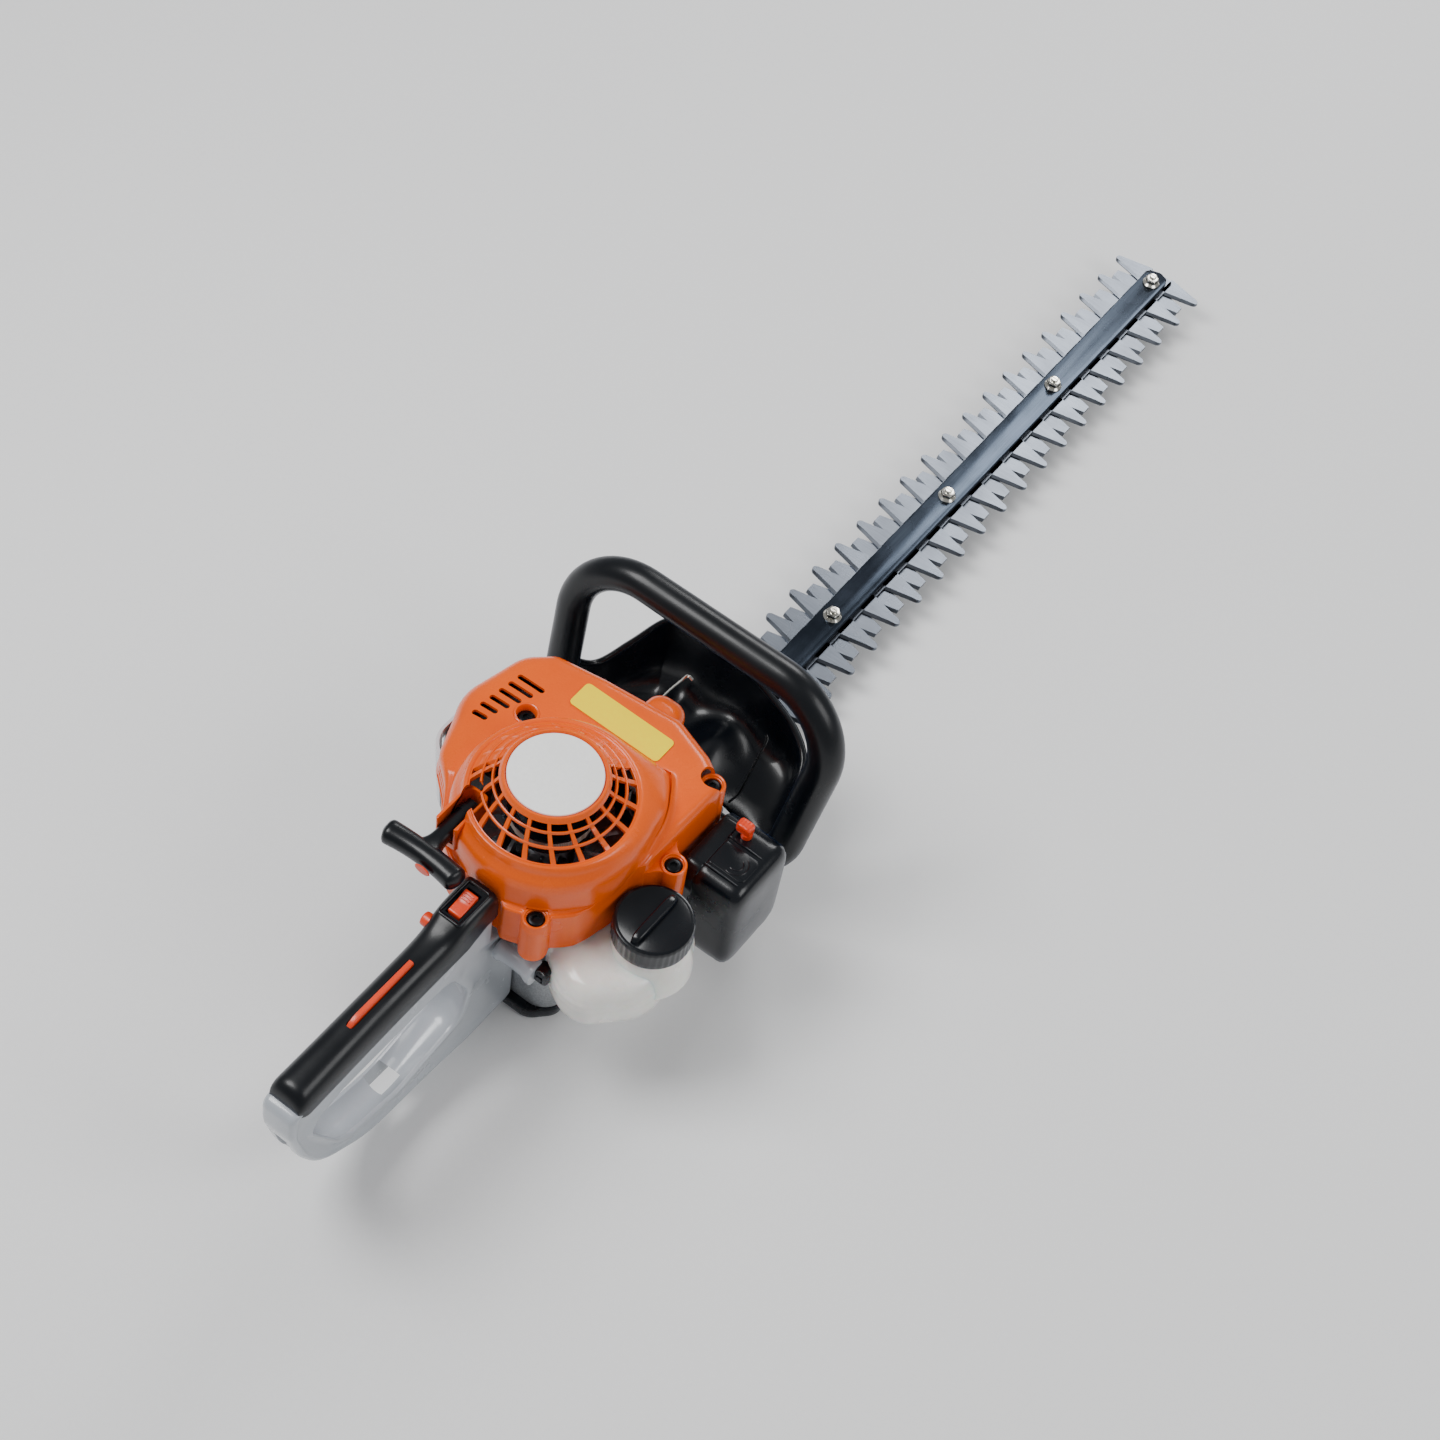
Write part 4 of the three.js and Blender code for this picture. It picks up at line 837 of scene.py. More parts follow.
    def bar(self) -> None:
        """The guide bar, its long edges broken and its front end rounded."""
        low, high = corners("guide_bar")
        outline = rounded([
            (low[0], low[1], 0), (high[0], low[1], 0), (high[0], high[1], 9), (low[0], high[1], 9),
        ], 8)
        made = prism("guide_bar_polished", outline, "z", low[2], high[2], 0.9)
        fit(made, BAR_STEEL, "engine", "bar_steel", "guide_bar")

    def nuts(self) -> None:
        """Each bolt's flanged hexagon nut, with the slotted end of the bolt standing in it."""
        for k in range(self.bolts):
            node = f"blade_bolt_{k + 1}"
            low, high = corners(node)
            x, y = (low[:2] + high[:2]) / 2
            seat = corners("guide_bar")[1][2] + 0.2
            top = high[2]
            flange = turned("flange", self.nut_flange, (x, y, seat), steps=48)
            angle = np.linspace(0, TURN, 6, endpoint=False) + 0.3
            star = np.stack([np.cos(angle), np.sin(angle)], -1)
            nut = prism("nut", (x, y) + self.nut_corner * star, "z", seat + 1, seat + 5.6, 0.5)
            crown = turned("crown", self.nut_crown, (x, y, seat + 5.2), steps=40)
            stem = turned(
                "stem", [
                    (0, 0), (2.9, 0), (2.9, top - seat - 0.6), (2.4, top - seat), (0, top - seat)
                ], (x, y, seat), steps=32
            )
            carve(stem, prism("groove", square(x - 5, y - 0.5, x + 5, y + 0.5), "z", top - 1.4, top + 1))
            under = corners("lower_cutter")[0][2]
            head = prism("head", (x, y) + self.head_corner * star, "z", low[2], under - 0.2, 0.4)
            side = [(0, low[2] + 1), (self.shank, low[2] + 1), (self.shank, seat), (0, seat)]
            shank = turned("shank", side, (x, y, 0), steps=24)
            made = merge(f"{node}_plated", [flange, nut, crown, stem, head, shank])
            fit(made, ZINC, "engine", "bright_steel", node)

    def build(self) -> None:
        """Builds the blade."""
        self.cutter("upper_cutter", "upper_blade", True)
        self.cutter("lower_cutter", "lower_blade", False)
        self.bar()
        self.nuts()


# ------------------------------------------------------------------ fan housing
@dataclass
class FanHousing:
    """The orange housing over the fan: a domed grille, a broad shoulder and a side lobe."""

    drum: float = 64.0
    deck: float = 172.0
    bottom: float = 125.2
    wall: float = 2.4
    columns: int = 288
    ribs: int = 18
    open_from: float = -166.0
    open_to: float = 54.0
    ear: float = 9.6
    screw_head: Line = ((0, -2.7), (5.4, -2.7), (5.5, -1.2), (5.1, -0.4), (4.4, 0), (0, 0))
    screw_washer: Line = ((0, -2.9), (6.1, -2.9), (6.1, -1.6), (0, -1.6))
    screw_socket: float = 2.6
    drum_foot: float = 65.3
    bands: Line = ((35.6, 38.4), (39.9, 45.2), (46.8, 53.2))
    # The rows of the dome, the grille and the drum's wall, from the centre out.
    dome: Line = (
        (0, 217.0), (10, 217.0), (22, 217.0), (30.9, 217.0), (31.5, 217.1), (31.8, 218.6), (32.4, 219.2),
        (33.4, 219.2), (34.2, 218.4), (34.9, 216.9), (35.6, 215.6), (37.0, 213.8), (38.4, 211.9),
        (38.9, 212.2), (39.4, 212.0), (39.9, 210.6), (41.6, 209.2), (43.4, 207.4), (45.2, 205.3),
        (45.7, 205.7), (46.3, 205.5), (46.8, 204.2), (48.9, 202.2), (51.0, 200.0), (53.2, 197.4),
        (53.8, 197.2), (54.6, 197.9), (55.6, 198.1), (56.8, 197.7), (58.2, 196.8), (59.8, 195.5),
        (61.4, 193.7), (62.8, 191.4), (63.9, 188.6), (64.6, 185.4), (65.0, 182.0), (65.2, 178.5),
    )
    plan: Line = (
        (-46, -43, 12), (-88, -8, 26), (-110, 42, 36), (-97, 91, 24), (-79, 106, 12), (-10, 114, 10),
        (18, 117, 10), (50, 106, 14), (72, 92, 10), (70, 10, 12), (30, -30, 10),
    )
    hood: Line = ((-14, 98, 4), (19, 98, 4), (15.5, 129.5, 11), (-10.5, 129.5, 11))
    hood_centre: tuple[float, float] = (2.5, 108.0)
    hood_shoulder: float = 158.0
    # The outline of the black plate under the vents: painted shade seen through the slots.
    shield: Line = (
        (-60, -8, 6), (-78, -2, 14), (-96, 38, 18), (-86, 84, 8), (-74, 96, 8), (-60, 98, 4),
    )
    vents_from: float = 30.0
    vent_pitch: float = 8.2
    louvres_from: float = 134.0
    louvre_pitch: float = 6.0
    # Each stop below is a direction in degrees and the value there: the least radius of the edge,
    # the deck's height, the shoulder's radius and the hem's height.
    flange: Line = (
        (-170, 64), (-158, 70),
        (-108, 70.5), (-102, 65), (-80, 65), (-76, 70.5), (-38, 70.5), (-22, 66), (0, 64), (60, 64),
    )
    level: Line = (
        (-166, 172), (-148, 160), (-30, 160), (-12, 164), (14, 172), (60, 172), (180, 172),
    )
    scroll: Line = (
        (
            -130, 58.5
        ), (-67, 59), (-36, 60), (-4, 62), (24, 66), (49, 75), (61, 81), (70, 71), (80, 64), (130, 60),
    )
    hem: Line = (
        (-139, 125.2), (-149, 136), (-160, 145), (140, 147), (128, 136), (118, 125.2), (0, 125.2),
    )

    def outline(self) -> Points:
        """The housing's edge, seen from above."""
        return rounded(self.plan, 1.0)

    @staticmethod
    def around(angles: Points, stops: Line) -> Points:
        """A value given at some directions in degrees, read off in straight lines at others."""
        where, value = np.array(stops).T
        return np.interp(np.degrees(angles) % 360, where % 360, value, period=360)

    def edge(self, angles: Points) -> Points:
        """The edge's distance from the crankshaft: a soft maximum of outline and flange, or the ear.

        Args:
            angles: the directions, in radians.

        Returns:
            One distance for each direction.
        """
        least = self.around(angles, self.flange)
        gap = reach(self.outline(), np.zeros(2), angles) - least
        out = least + 2.2 * np.logaddexp(0, gap / 2.2) - 1.0
        x, y, _ = self.screw_places()[2]
        far, way = math.hypot(x, y), math.atan2(y, x)
        turn = (angles - way + math.pi) % TURN - math.pi
        inside = self.ear**2 - (far * np.sin(turn)) ** 2
        ear = np.where(
            (inside > 0) & (np.abs(turn) < 1), far * np.cos(turn) + np.sqrt(np.maximum(inside, 0)), 0
        )
        return np.maximum(out, ear)

    def profile(self, angles: Points) -> tuple[Points, Points]:
        """Radius and height of each row, for each direction.

        From the centre out: a sunk seat for the disc, a rim, the falling grille, the smooth shoulder,
        the drum's wall, a hollow curve on to the deck, the deck, a round edge and the skirt.

        Args:
            angles: the directions of the columns.

        Returns:
            Radii and heights, each of shape (rows, columns).
        """
        dome = np.array(self.dome)
        out = self.edge(angles)[None]
        deck = self.around(angles, self.level)[None]
        bottom = self.around(angles, self.hem)[None]
        run = np.maximum(out - self.drum_foot, 0)
        inner = np.minimum(5.0, 0.4 * run)
        left = np.clip((-np.cos(angles))[None] - 0.35, 0, 1)
        outer = np.minimum(9.0 + 12 * left, 0.45 * run)
        fall = 5.0 * left * np.clip(run / 40, 0, 1) ** 2
        turn = np.radians(np.linspace(0, 90, 6))[:, None]
        hollow_r = self.drum_foot + inner * (1 - np.cos(turn))
        hollow_z = deck + inner * (1 - np.sin(turn))
        share = np.linspace(0, 1, 10)[1:-1, None]
        flat_r = self.drum_foot + inner + (run - inner - outer) * share
        flat_z = deck - fall * share**2
        turn = np.radians(np.linspace(0, 90, 8))[:, None]
        round_r = out - outer + outer * np.sin(turn)
        round_z = deck - fall - outer * (1 - np.cos(turn))
        drop = np.linspace(0, 1, 10)[1:, None]
        skirt_top = deck - fall - outer
        skirt_z = skirt_top + (bottom - skirt_top) * drop
        lip = np.exp(-(((skirt_z - bottom) / 2.2) ** 2))
        skirt_r = out + 1.0 * drop + 0.9 * lip
        share = np.clip((dome[:, :1] - 56.8) / (62.8 - 56.8), 0, None)
        stretch = self.around(angles, self.scroll)[None] - 62.8
        foot = np.clip((65.2 - dome[:, :1]) / (65.2 - 62.8), 0, 1)
        wide = dome[:, :1] + stretch * np.where(share > 1, np.where(stretch > 0, 1, foot), share)
        tall = dome[:, 1:] - 0.75 * np.maximum(stretch, 0) * np.clip(share, 0, 1)
        hollow_r = hollow_r + np.maximum(stretch, 0)
        flat_r = np.maximum(flat_r, hollow_r[-1:])
        round_r = np.maximum(round_r, hollow_r[-1:])
        radii = np.concatenate([wide, hollow_r, flat_r, round_r, skirt_r])
        heights = np.concatenate([tall, hollow_z, flat_z, round_z, skirt_z])
        return radii, heights

    def shell(self) -> bpy.types.Object:
        """The housing's skin with its grille windows, given a wall.

        Returns:
            The walled skin.
        """
        angles = np.linspace(0, TURN, self.columns, endpoint=False)
        radii, heights = self.profile(angles)
        rise = np.clip((radii - 34) / 20, 0, 1)
        ease = np.clip((64 - radii) / 8, 0, 1)
        swirl = np.radians(7.0) * rise * ease
        per_rib = self.columns // self.ribs
        column = np.arange(self.columns)
        degrees = (np.degrees(angles) + 180) % 360 - 180
        in_open = (degrees > self.open_from) & (degrees < self.open_to)
        in_window = (column % per_rib) >= 3
        row_r = radii[:, 0]
        in_band = np.zeros(len(row_r) - 1, bool)
        for start, end in self.bands:
            in_band |= (row_r[:-1] >= start - 0.01) & (row_r[1:] <= end + 0.01)
        keep = ~(in_band[:, None] & (in_open & in_window)[None])
        sunk_rows = np.zeros(len(row_r), bool)
        sunk_rows[1:-1] = in_band[:-1] & in_band[1:]
        inner_window = ((column % per_rib) >= 4) & ~in_open
        heights = heights - 1.3 * (sunk_rows[:, None] & inner_window[None])
        theta = angles[None] + swirl
        grid = np.stack([radii * np.cos(theta), radii * np.sin(theta), heights], -1)
        skin = surface("cover_shell", grid, caps=False, keep=keep)
        settle(skin, "SOLIDIFY", thickness=self.wall * MM, offset=-1, use_even_offset=False, use_rim=True)
        return skin

    def vents(self) -> list[bpy.types.Object]:
        """The six rounded slots in the lobe.

        Returns:
            One closed tool for each slot.
        """
        tools = []
        for k in range(6):
            y = self.vents_from + self.vent_pitch * k
            left = -90 + max(0, k - 1) * 1.2
            right = left + 12 + 2 * k
            outline = oblong(left, y - 2, right, y + 2, 1.95, 0.6)
            tools.append(prism("vent", outline, "z", self.deck - 16, self.deck + 4))
        return tools

    def louvres(self) -> list[bpy.types.Object]:
        """The slots in the lobe's rear left wall, each a flat bar along that wall.

        Returns:
            One closed tool for each slot.
        """
        tools = []
        along = np.array([0.77, -0.64])
        across = np.array([0.64, 0.77])
        centre = np.array([-73.0, -23.0])
        for k in range(5):
            z = self.louvres_from + self.louvre_pitch * k
            half = 17.0 - 0.8 * k
            ends = np.array([
                centre + along * half - across * 9, centre + along * half + across * 9,
                centre - along * half + across * 9, centre - along * half - across * 9,
            ])
            tools.append(prism("louvre", ends, "z", z, z + 2.6))
        return tools

    def screw_places(self) -> list[Points]:
        """Centre and top of each cover screw."""
        boxes = [corners(f"cover_screw_{k}") for k in range(1, 5)]
        return [np.array([*(low + high)[:2] / 2, high[2] + 1.5]) for low, high in boxes]

    def bosses(self) -> list[bpy.types.Object]:
        """The lipped columns that the screws sink into.

        Returns:
            One object for each screw.
        """
        made = []
        for place in self.screw_places():
            top = place[2] + 0.2
            lip = self.deck + 0.9 if place[0] < 0 else top + 1.6
            profile = [
                (9.3, self.bottom + 0.6), (9.0, lip - 1.4), (8.6, lip - 0.4), (7.9, lip), (7.2, lip - 0.3),
                (6.6, lip - 1.6), (6.2, top - 0.2), (6.1, top - 3.0), (2.9, top - 3.1),
                (2.9, self.bottom + 0.6),
            ]
            made.append(turned("boss", profile, (place[0], place[1], 0), ring=True, steps=40))
        return made

    def web(self) -> bpy.types.Object:
        """The web from the right-hand boss to the wall, wide at the wall and as wide as the boss.

        Returns:
            The web.
        """
        x, y, top = self.screw_places()[1]
        outline = rounded([
            (62, y - 26, 0),
            (x - 4, y - 9.5, 10), (x + 2, y - 8, 5), (x + 2, y + 8, 5), (x - 5, y + 10, 10),
            (62, y + 28, 0),
        ], 1.0)
        return prism("boss_web", outline, "z", self.bottom + 3, top + 0.6, 1.4)

    def nose(self) -> bpy.types.Object:
        """The hood over the plug's boot: a rounded rectangle whose size falls as an oval near its top.

        Returns:
            The hood.
        """
        crown = self.hood_shoulder + 10.5 * np.sin(np.linspace(0, 1.5, 9)[1:])
        level = np.concatenate([np.linspace(self.bottom, self.hood_shoulder, 8), crown])
        rise = np.clip((level - self.hood_shoulder) / 10.6, 0, 1)
        size = np.sqrt(1 - rise**2)
        outline = rounded(self.hood, 1.0)
        centre = np.array(self.hood_centre)
        spots = centre + (outline - centre)[None] * (0.35 + 0.65 * size)[:, None, None]
        grid = np.concatenate([spots, np.repeat(level[:, None, None], len(outline), 1)], -1)
        return surface("nose", grid)

    def vent_shade_plate(self) -> bpy.types.Object:
        """A black plate under the vents, painted shade so that the slots show dark."""
        return prism("vent_painted_shade_plate", rounded(self.shield, 2.0), "z", 160.5, 162, 0.4)

    def screw_holes(self) -> list[bpy.types.Object]:
        """Tools for the screw holes that lie on the deck, and the shallower one in the rear ear.

        Returns:
            One closed tool for each hole.
        """
        first, _, ear, last = self.screw_places()
        holes = [
            prism("screw hole", oblong(x - 8.8, y - 8.8, x + 8.8, y + 8.8, 8.7, 1), "z", z - 22, z + 40)
            for x, y, z in (first, last)
        ]
        holes.append(turned("ear hole", [(0, -24), (8.4, -24), (8.4, 3.4), (0, 3.4)], ear, steps=40))
        return holes

    def rope_guide(self) -> bpy.types.Object:
        """The block in the drum's wall that the starter's grip rests in, and the notch above it.

        Returns:
            The tool for the notch.
        """
        low, high = corners("pull_grip")
        middle = (low[0] + high[0]) / 2
        outline = rounded([
            (middle - 6.5, -80, 0), (middle + 6.5, -80, 0), (middle + 6.5, -28, 5), (middle - 6.5, -28, 5),
        ], 1)
        notch = prism("notch", outline, "z", 174, 230)
        pocket = prism("rope_guide", rounded([
            (middle - 8.6, -60, 2), (middle + 8.6, -60, 2), (middle + 8.6, -26, 4), (middle - 8.6, -26, 4),
        ], 1), "z", 168, 192, 1.0)
        carve(pocket, prism("channel", outline, "z", 174, 230))
        fit(pocket, ORANGE, "engine", "orange_housing")
        return notch

    def disc(self) -> None:
        """The plain disc that lies in the dome's seat, its rim rounded."""
        low, high = corners("badge_disc")
        radius = (high[0] - low[0]) / 2
        thick = high[2] - low[2]
        profile = [
            (0, 0), (radius - 0.2, 0), (radius, 0.4), (radius - 0.1, thick - 0.4), (radius - 0.5, thick),
            (0, thick + 0.25),
        ]
        made = turned("badge_plain_disc", profile, (0, 0, low[2]), steps=96)
        fit(made, WHITE_FILM, "engine", "badge_white", "badge_disc")

    def build(self) -> None:
        """Builds the housing with what is fixed to it."""
        shell = self.shell()
        holes = self.screw_holes()
        notch = self.rope_guide()
        carve(shell, *self.vents(), *self.louvres(), *holes, notch)
        fit(shell, ORANGE, "engine", "orange_housing", "fan_housing")
        for k, boss in enumerate(self.bosses()):
            boss.name = f"cover_boss_{k + 1}"
            fit(boss, ORANGE, "engine", "orange_housing")
        web = self.web()
        bore = [(0, -30), (8, -30), (8, 9), (0, 9)]
        carve(web, turned("bore", bore, self.screw_places()[1], steps=40))
        fit(web, ORANGE, "engine", "orange_housing")
        fit(self.nose(), ORANGE, "engine", "orange_housing").name = "plug_hood"
        fit(self.vent_shade_plate(), BLACK, "engine", "black_plastic")
        self.disc()
        for k, place in enumerate(self.screw_places()):
            self.screw(k + 1, place)

    def screw(self, number: int, place: Points) -> None:
        """A cap screw with a round head and a socket.

        Args:
            number: which screw.
            place: the centre of its head's top.
        """
        x, y, top = place
        low = corners(f"cover_screw_{number}")[0][2]
        angle = np.linspace(0, TURN, 6, endpoint=False)
        star = np.stack([np.cos(angle), np.sin(angle)], -1)
        head = turned("head", self.screw_head, place, steps=40)
        carve(head, prism("socket", (x, y) + self.screw_socket * star, "z", top - 2, top + 1))
        shank = turned(
            "shank", [(0, low), (2.5, low), (2.5, top - 2.4), (0, top - 2.4)], (x, y, 0), steps=20
        )
        washer = turned("washer", self.screw_washer, place, steps=40)
        made = merge(f"cap_screw_{number}", [head, shank, washer])
        fit(made, BLACK_OXIDE, "engine", "black_screw", f"cover_screw_{number}")


# ------------------------------------------------------------------ starter grip
@dataclass
class PullGrip:
    """The T-shaped starter handle: a waisted bar and a tapering stem."""

    bar_back: float = 9.0
    bar_wide: float = 7.6
    bar_tall: float = 7.2
    stem_wide: float = 6.0
    stem_tall: float = 5.6
    collar_wide: float = 6.4
    collar_tall: float = 5.8
    collar_at: float = 0.8
    plug: Line = ((0, 0), (3.4, 0), (4.0, 0.5), (3.6, 1.1), (0, 1.3))
    plug_stretch: float = 1.5

    def build(self) -> None:
        """Builds the grip with the small oval plug on its back."""
        low, high = corners("pull_grip")
        x = (low[0] + high[0]) / 2
        y = low[1] + self.bar_back
        z = (low[2] + high[2]) / 2
        half = (high[0] - low[0]) / 2
        s = np.linspace(-1, 1, 41)
        end = np.sqrt(np.clip(1 - np.clip((np.abs(s) - 0.86) / 0.14, 0, 1) ** 2, 0.05, 1))
        wide = (self.bar_wide + 0.9 * s**2) * end
        tall = (self.bar_tall + 0.6 * s**2) * end
        bar_path = np.stack([x + half * s, y + 1.5 - 3.0 * s**2, z + 1.2 * s**2], -1)
        bar = sweep("bar", bar_path, wide, tall, (0, 0, 1), 28, 2.3)
        t = np.linspace(0, 1, 26)
        flare = np.exp(-((t / 0.16) ** 2))
        stem_path = np.stack([x + 0 * t, y + (high[1] - y) * t, z + 0 * t], -1)
        stem_wide = self.stem_wide - 1.0 * t + 8.0 * flare
        stem_tall = self.stem_tall - 0.6 * t + 1.4 * flare
        stem = sweep("stem", stem_path, stem_wide, stem_tall, (0, 0, 1), 28, 2.6)
        t = self.collar_at + 0.01 * np.arange(9)
        collar_path = np.stack([x + 0 * t, y + (high[1] - y) * t, z + 0 * t], -1)
        collar = sweep("collar", collar_path, self.collar_wide, self.collar_tall, (0, 0, 1), 28, 2.4)
        made = merge("starter_grip", [bar, stem, collar])
        fit(made, GRIP_BLACK, "grip", "black_plastic", "pull_grip")
        spot = (x + 7, y - 8.3, z + 1)
        oval = turned("grip_plug", self.plug, spot, "y", 36)
        scale = Matrix.Diagonal((self.plug_stretch, -1, 1, 1))
        centre = Matrix.Translation(Vector(spot) * MM)
        oval.data.transform(centre @ scale @ centre.inverted())
        fit(weld(oval), CONTROL, "grip", "control_orange")


# ------------------------------------------------------------------ tank and cap
@dataclass
class FuelTank:
    """The blown tank with its seam, its neck, its clip and its ribbed cap."""

    power: float = 3.2
    top: float = 122.0
    neck: Line = (
        (0, 100), (30, 100), (28.5, 114), (25.5, 122), (23.6, 127), (22.2, 131), (22, 141.4), (0, 141.4),
    )
    cap_ribs: int = 40
    rib_depth: float = 0.35
    clip_low: tuple[float, float, float] = (43, -66, 96)
    clip_high: tuple[float, float, float] = (54, -55, 110)
    clip_pin: Line = ((0, 0), (2.2, 0), (2.2, 3.4), (1.6, 4.2), (0, 4.2))

    def body(self) -> None:
        """The bulbous tank: level outlines whose size follows a superellipse of the height."""
        low, high = corners("fuel_tank")
        left, right, rear, front = low[0], high[0], low[1], high[1]
        top = self.top
        outline = rounded([
            (left - 12, -36, 16), (left + 1, rear + 15, 14), (left + 22, rear + 4, 26),
            (right - 30, rear + 4, 30),
            (right, rear + 36, 34), (right, front - 14, 20), (right - 16, front, 20),
            (left - 12, front - 10, 16),
        ], 1.6)
        centre = np.array([(left + right) / 2, (rear + front) / 2])
        t = np.sin(np.linspace(-math.pi / 2, math.pi / 2, 44))
        middle = low[2] + 0.56 * (top - low[2])
        z = np.where(t < 0, middle + (middle - low[2]) * t, middle + (top - middle) * t)
        size = (1 - np.abs(t) ** self.power) ** (1 / self.power)
        size = 0.5 + 0.5 * size
        seam = np.exp(-(((z - middle) / 0.8) ** 2))
        step = np.where(z > middle + 8, 0.985, 1.0)
        spread = (size * step + 0.012 * seam)[:, None, None]
        plan = centre + (outline - centre)[None] * spread
        grid = np.concatenate([plan, np.repeat(z[:, None, None], len(outline), 1)], -1)
        tank = surface("tank", grid)
        cap_low, cap_high = corners("fuel_cap")
        x, y = (cap_low[:2] + cap_high[:2]) / 2
        neck = turned("neck", self.neck, (x, y, 0), steps=72)
        fit(merge("blown_tank", [tank, neck]), TANK_WHITE, "engine", "tank_white", "fuel_tank")

    def cap(self) -> None:
        """The cap: a ribbed skirt, a dished top and a tall finger bar."""
        low, high = corners("fuel_cap")
        x, y = (low[:2] + high[:2]) / 2
        radius = (high[0] - low[0]) / 2
        bottom = low[2]
        deck = high[2] - 4
        angle = np.linspace(0, TURN, 240, endpoint=False)
        ribs = self.rib_depth * (0.5 + 0.5 * np.cos(self.cap_ribs * angle))
        profile = np.array([
            (radius - 3.2, bottom), (radius - 0.6, bottom + 0.4), (radius - 0.2, bottom + 1.6),
            (radius - 0.3, bottom + 5), (radius - 0.4, deck - 4), (radius - 0.5, deck - 1.6),
            (radius - 1.3, deck - 0.4), (radius - 2.6, deck), (radius - 3.6, deck - 0.1),
            (radius - 4.4, deck - 0.5), (8, deck - 0.6), (0, deck - 0.6),
        ])
        ribbed = np.array([0, 0, 1, 1, 1, 0.3, 0, 0, 0, 0, 0, 0])[:, None]
        spread = profile[:, :1] - ribs[None] * ribbed
        grid = np.stack([
            x + spread * np.cos(angle), y + spread * np.sin(angle), np.repeat(
                profile[:, 1:], len(angle), 1
            ),
        ], -1)
        dish = surface("dish", grid)
        s = np.linspace(-1, 1, 25)
        reach_y = y + (radius - 4.5) * s
        bar_path = np.stack([x + 0 * s, reach_y, np.full(25, deck - 0.4)], -1)
        fade = np.sqrt(np.clip(1 - np.abs(s) ** 6, 0.02, 1))
        bar = sweep("bar", bar_path, 3.2 * fade + 0.4, 4.4 * fade, (0, 0, 1), 24, 4.5)
        fit(merge("ribbed_cap", [dish, bar]), BLACK, "cap", "black_plastic", "fuel_cap")

    def clip(self) -> None:
        """The clip at the tank's rear: a rounded block with a window and a pin through it."""
        low, high = self.clip_low, self.clip_high
        block = blob("clip", low, high, 6, 24)
        window = square(low[0] + 3, low[2] + 3, high[0] - 3, high[2] - 4)
        carve(block, prism("window", window, "y", low[1] - 4, low[1] + 4))
        middle = ((low[0] + high[0]) / 2, low[1] - 0.5, low[2] + 6.5)
        pin = turned("pin", self.clip_pin, middle, "y", 28)
        fit(merge("tank_strap_clip", [block, pin]), BLACK, "engine", "black_plastic", "tank_clip")

    def build(self) -> None:
        """Builds the tank, its cap and its clip."""
        self.body()
        self.cap()
        self.clip()


# ------------------------------------------------------------------ filter box
@dataclass
class FilterBox:
    """The black air filter box with its choke knob."""

    left_margin: float = 6.0
    ridges: tuple[float, float] = (11.0, 38.0)
    crescents: tuple[float, float] = (5.0, 8.5)
    knob_pivot: tuple[float, float] = (97.0, 86.0)
    knob_foot: float = 4.0
    knob_ridges: int = 4

    def build(self) -> None:
        """Builds the cover, its lid marks and the knob."""
        low, high = corners("filter_cover")
        cover = blob("cover", low - [self.left_margin, 0, 0], high, 7, 48)
        x0, x1, y0, y1, top = low[0], high[0], low[1], high[1], high[2]
        shells = [cover]
        for y in (y0 + offset for offset in self.ridges):
            s = np.linspace(0, 1, 12)
            path = np.stack([x0 + 1 + (x1 - x0 - 11) * s, y + 0 * s, top - 0.3 - 0.9 * s**3], -1)
            shells.append(sweep("ridge", path, 0.8, 1.3, (0, 0, 1), 12, 3))
        for radius in self.crescents:
            turn = np.linspace(-0.6 * math.pi, 0.35 * math.pi, 24)
            arc = np.stack([
                x0 + 17 + radius * np.cos(turn), y0 + 24 + radius * np.sin(turn), np.full(24, top - 0.2),
            ], -1)
            shells.append(sweep("crescent", arc, 0.7, 0.9, (0, 0, 1), 12))
        lid = prism("lid", rounded([
            (x0 + 1, y0 + 14, 2), (x0 + 29, y0 + 14, 4), (x0 + 29, y0 + 35, 4), (x0 + 1, y0 + 35, 2),
        ], 1), "z", top - 4, top + 0.3, 0.5)
        shells.append(lid)
        fit(merge("air_filter_box", shells), BLACK, "engine", "black_plastic", "filter_cover")
        base_low, _ = corners("filter_base")
        base = prism("filter_backplate", rounded([
            (y0 + 6, base_low[2], 12),
            (y1 - 4, base_low[2] + 10, 14), (y1, top - 10, 10), (y1 - 10, top, 8),
            (y0 + 4, top, 8), (y0, top - 20, 10),
        ], 1.5), "x", base_low[0], x0 + 1, 1.2)
        fit(base, BLACK, "engine", "black_plastic", "filter_base")
        self.knob()

    def knob(self) -> None:
        """The orange choke knob: a ridged block on a round foot."""
        low, high = corners("choke_knob")
        x, y = (low[:2] + high[:2]) / 2
        wide, base = self.knob_foot, low[2]
        foot = turned(
            "foot", [(0, base), (wide, base), (wide, base + 4), (0, base + 4)], (*self.knob_pivot, 0),
            steps=32
        )
        block = blob("block", (x - 8.5, y - 4, low[2] + 2.4), (x + 3, y + 4, high[2]), 5, 24)
        shells = [foot, block]
        for k in range(self.knob_ridges):
            s = np.linspace(-1, 1, 8)
            path = np.stack([np.full(8, x - 6.4 + 2.4 * k), y + 2.8 * s, np.full(8, high[2] - 0.15)], -1)
            shells.append(sweep("ridge", path, 0.5, 0.5, (0, 0, 1), 10))
        fit(merge("choke_lever_knob", shells), CONTROL, "choke", "control_orange", "choke_knob")


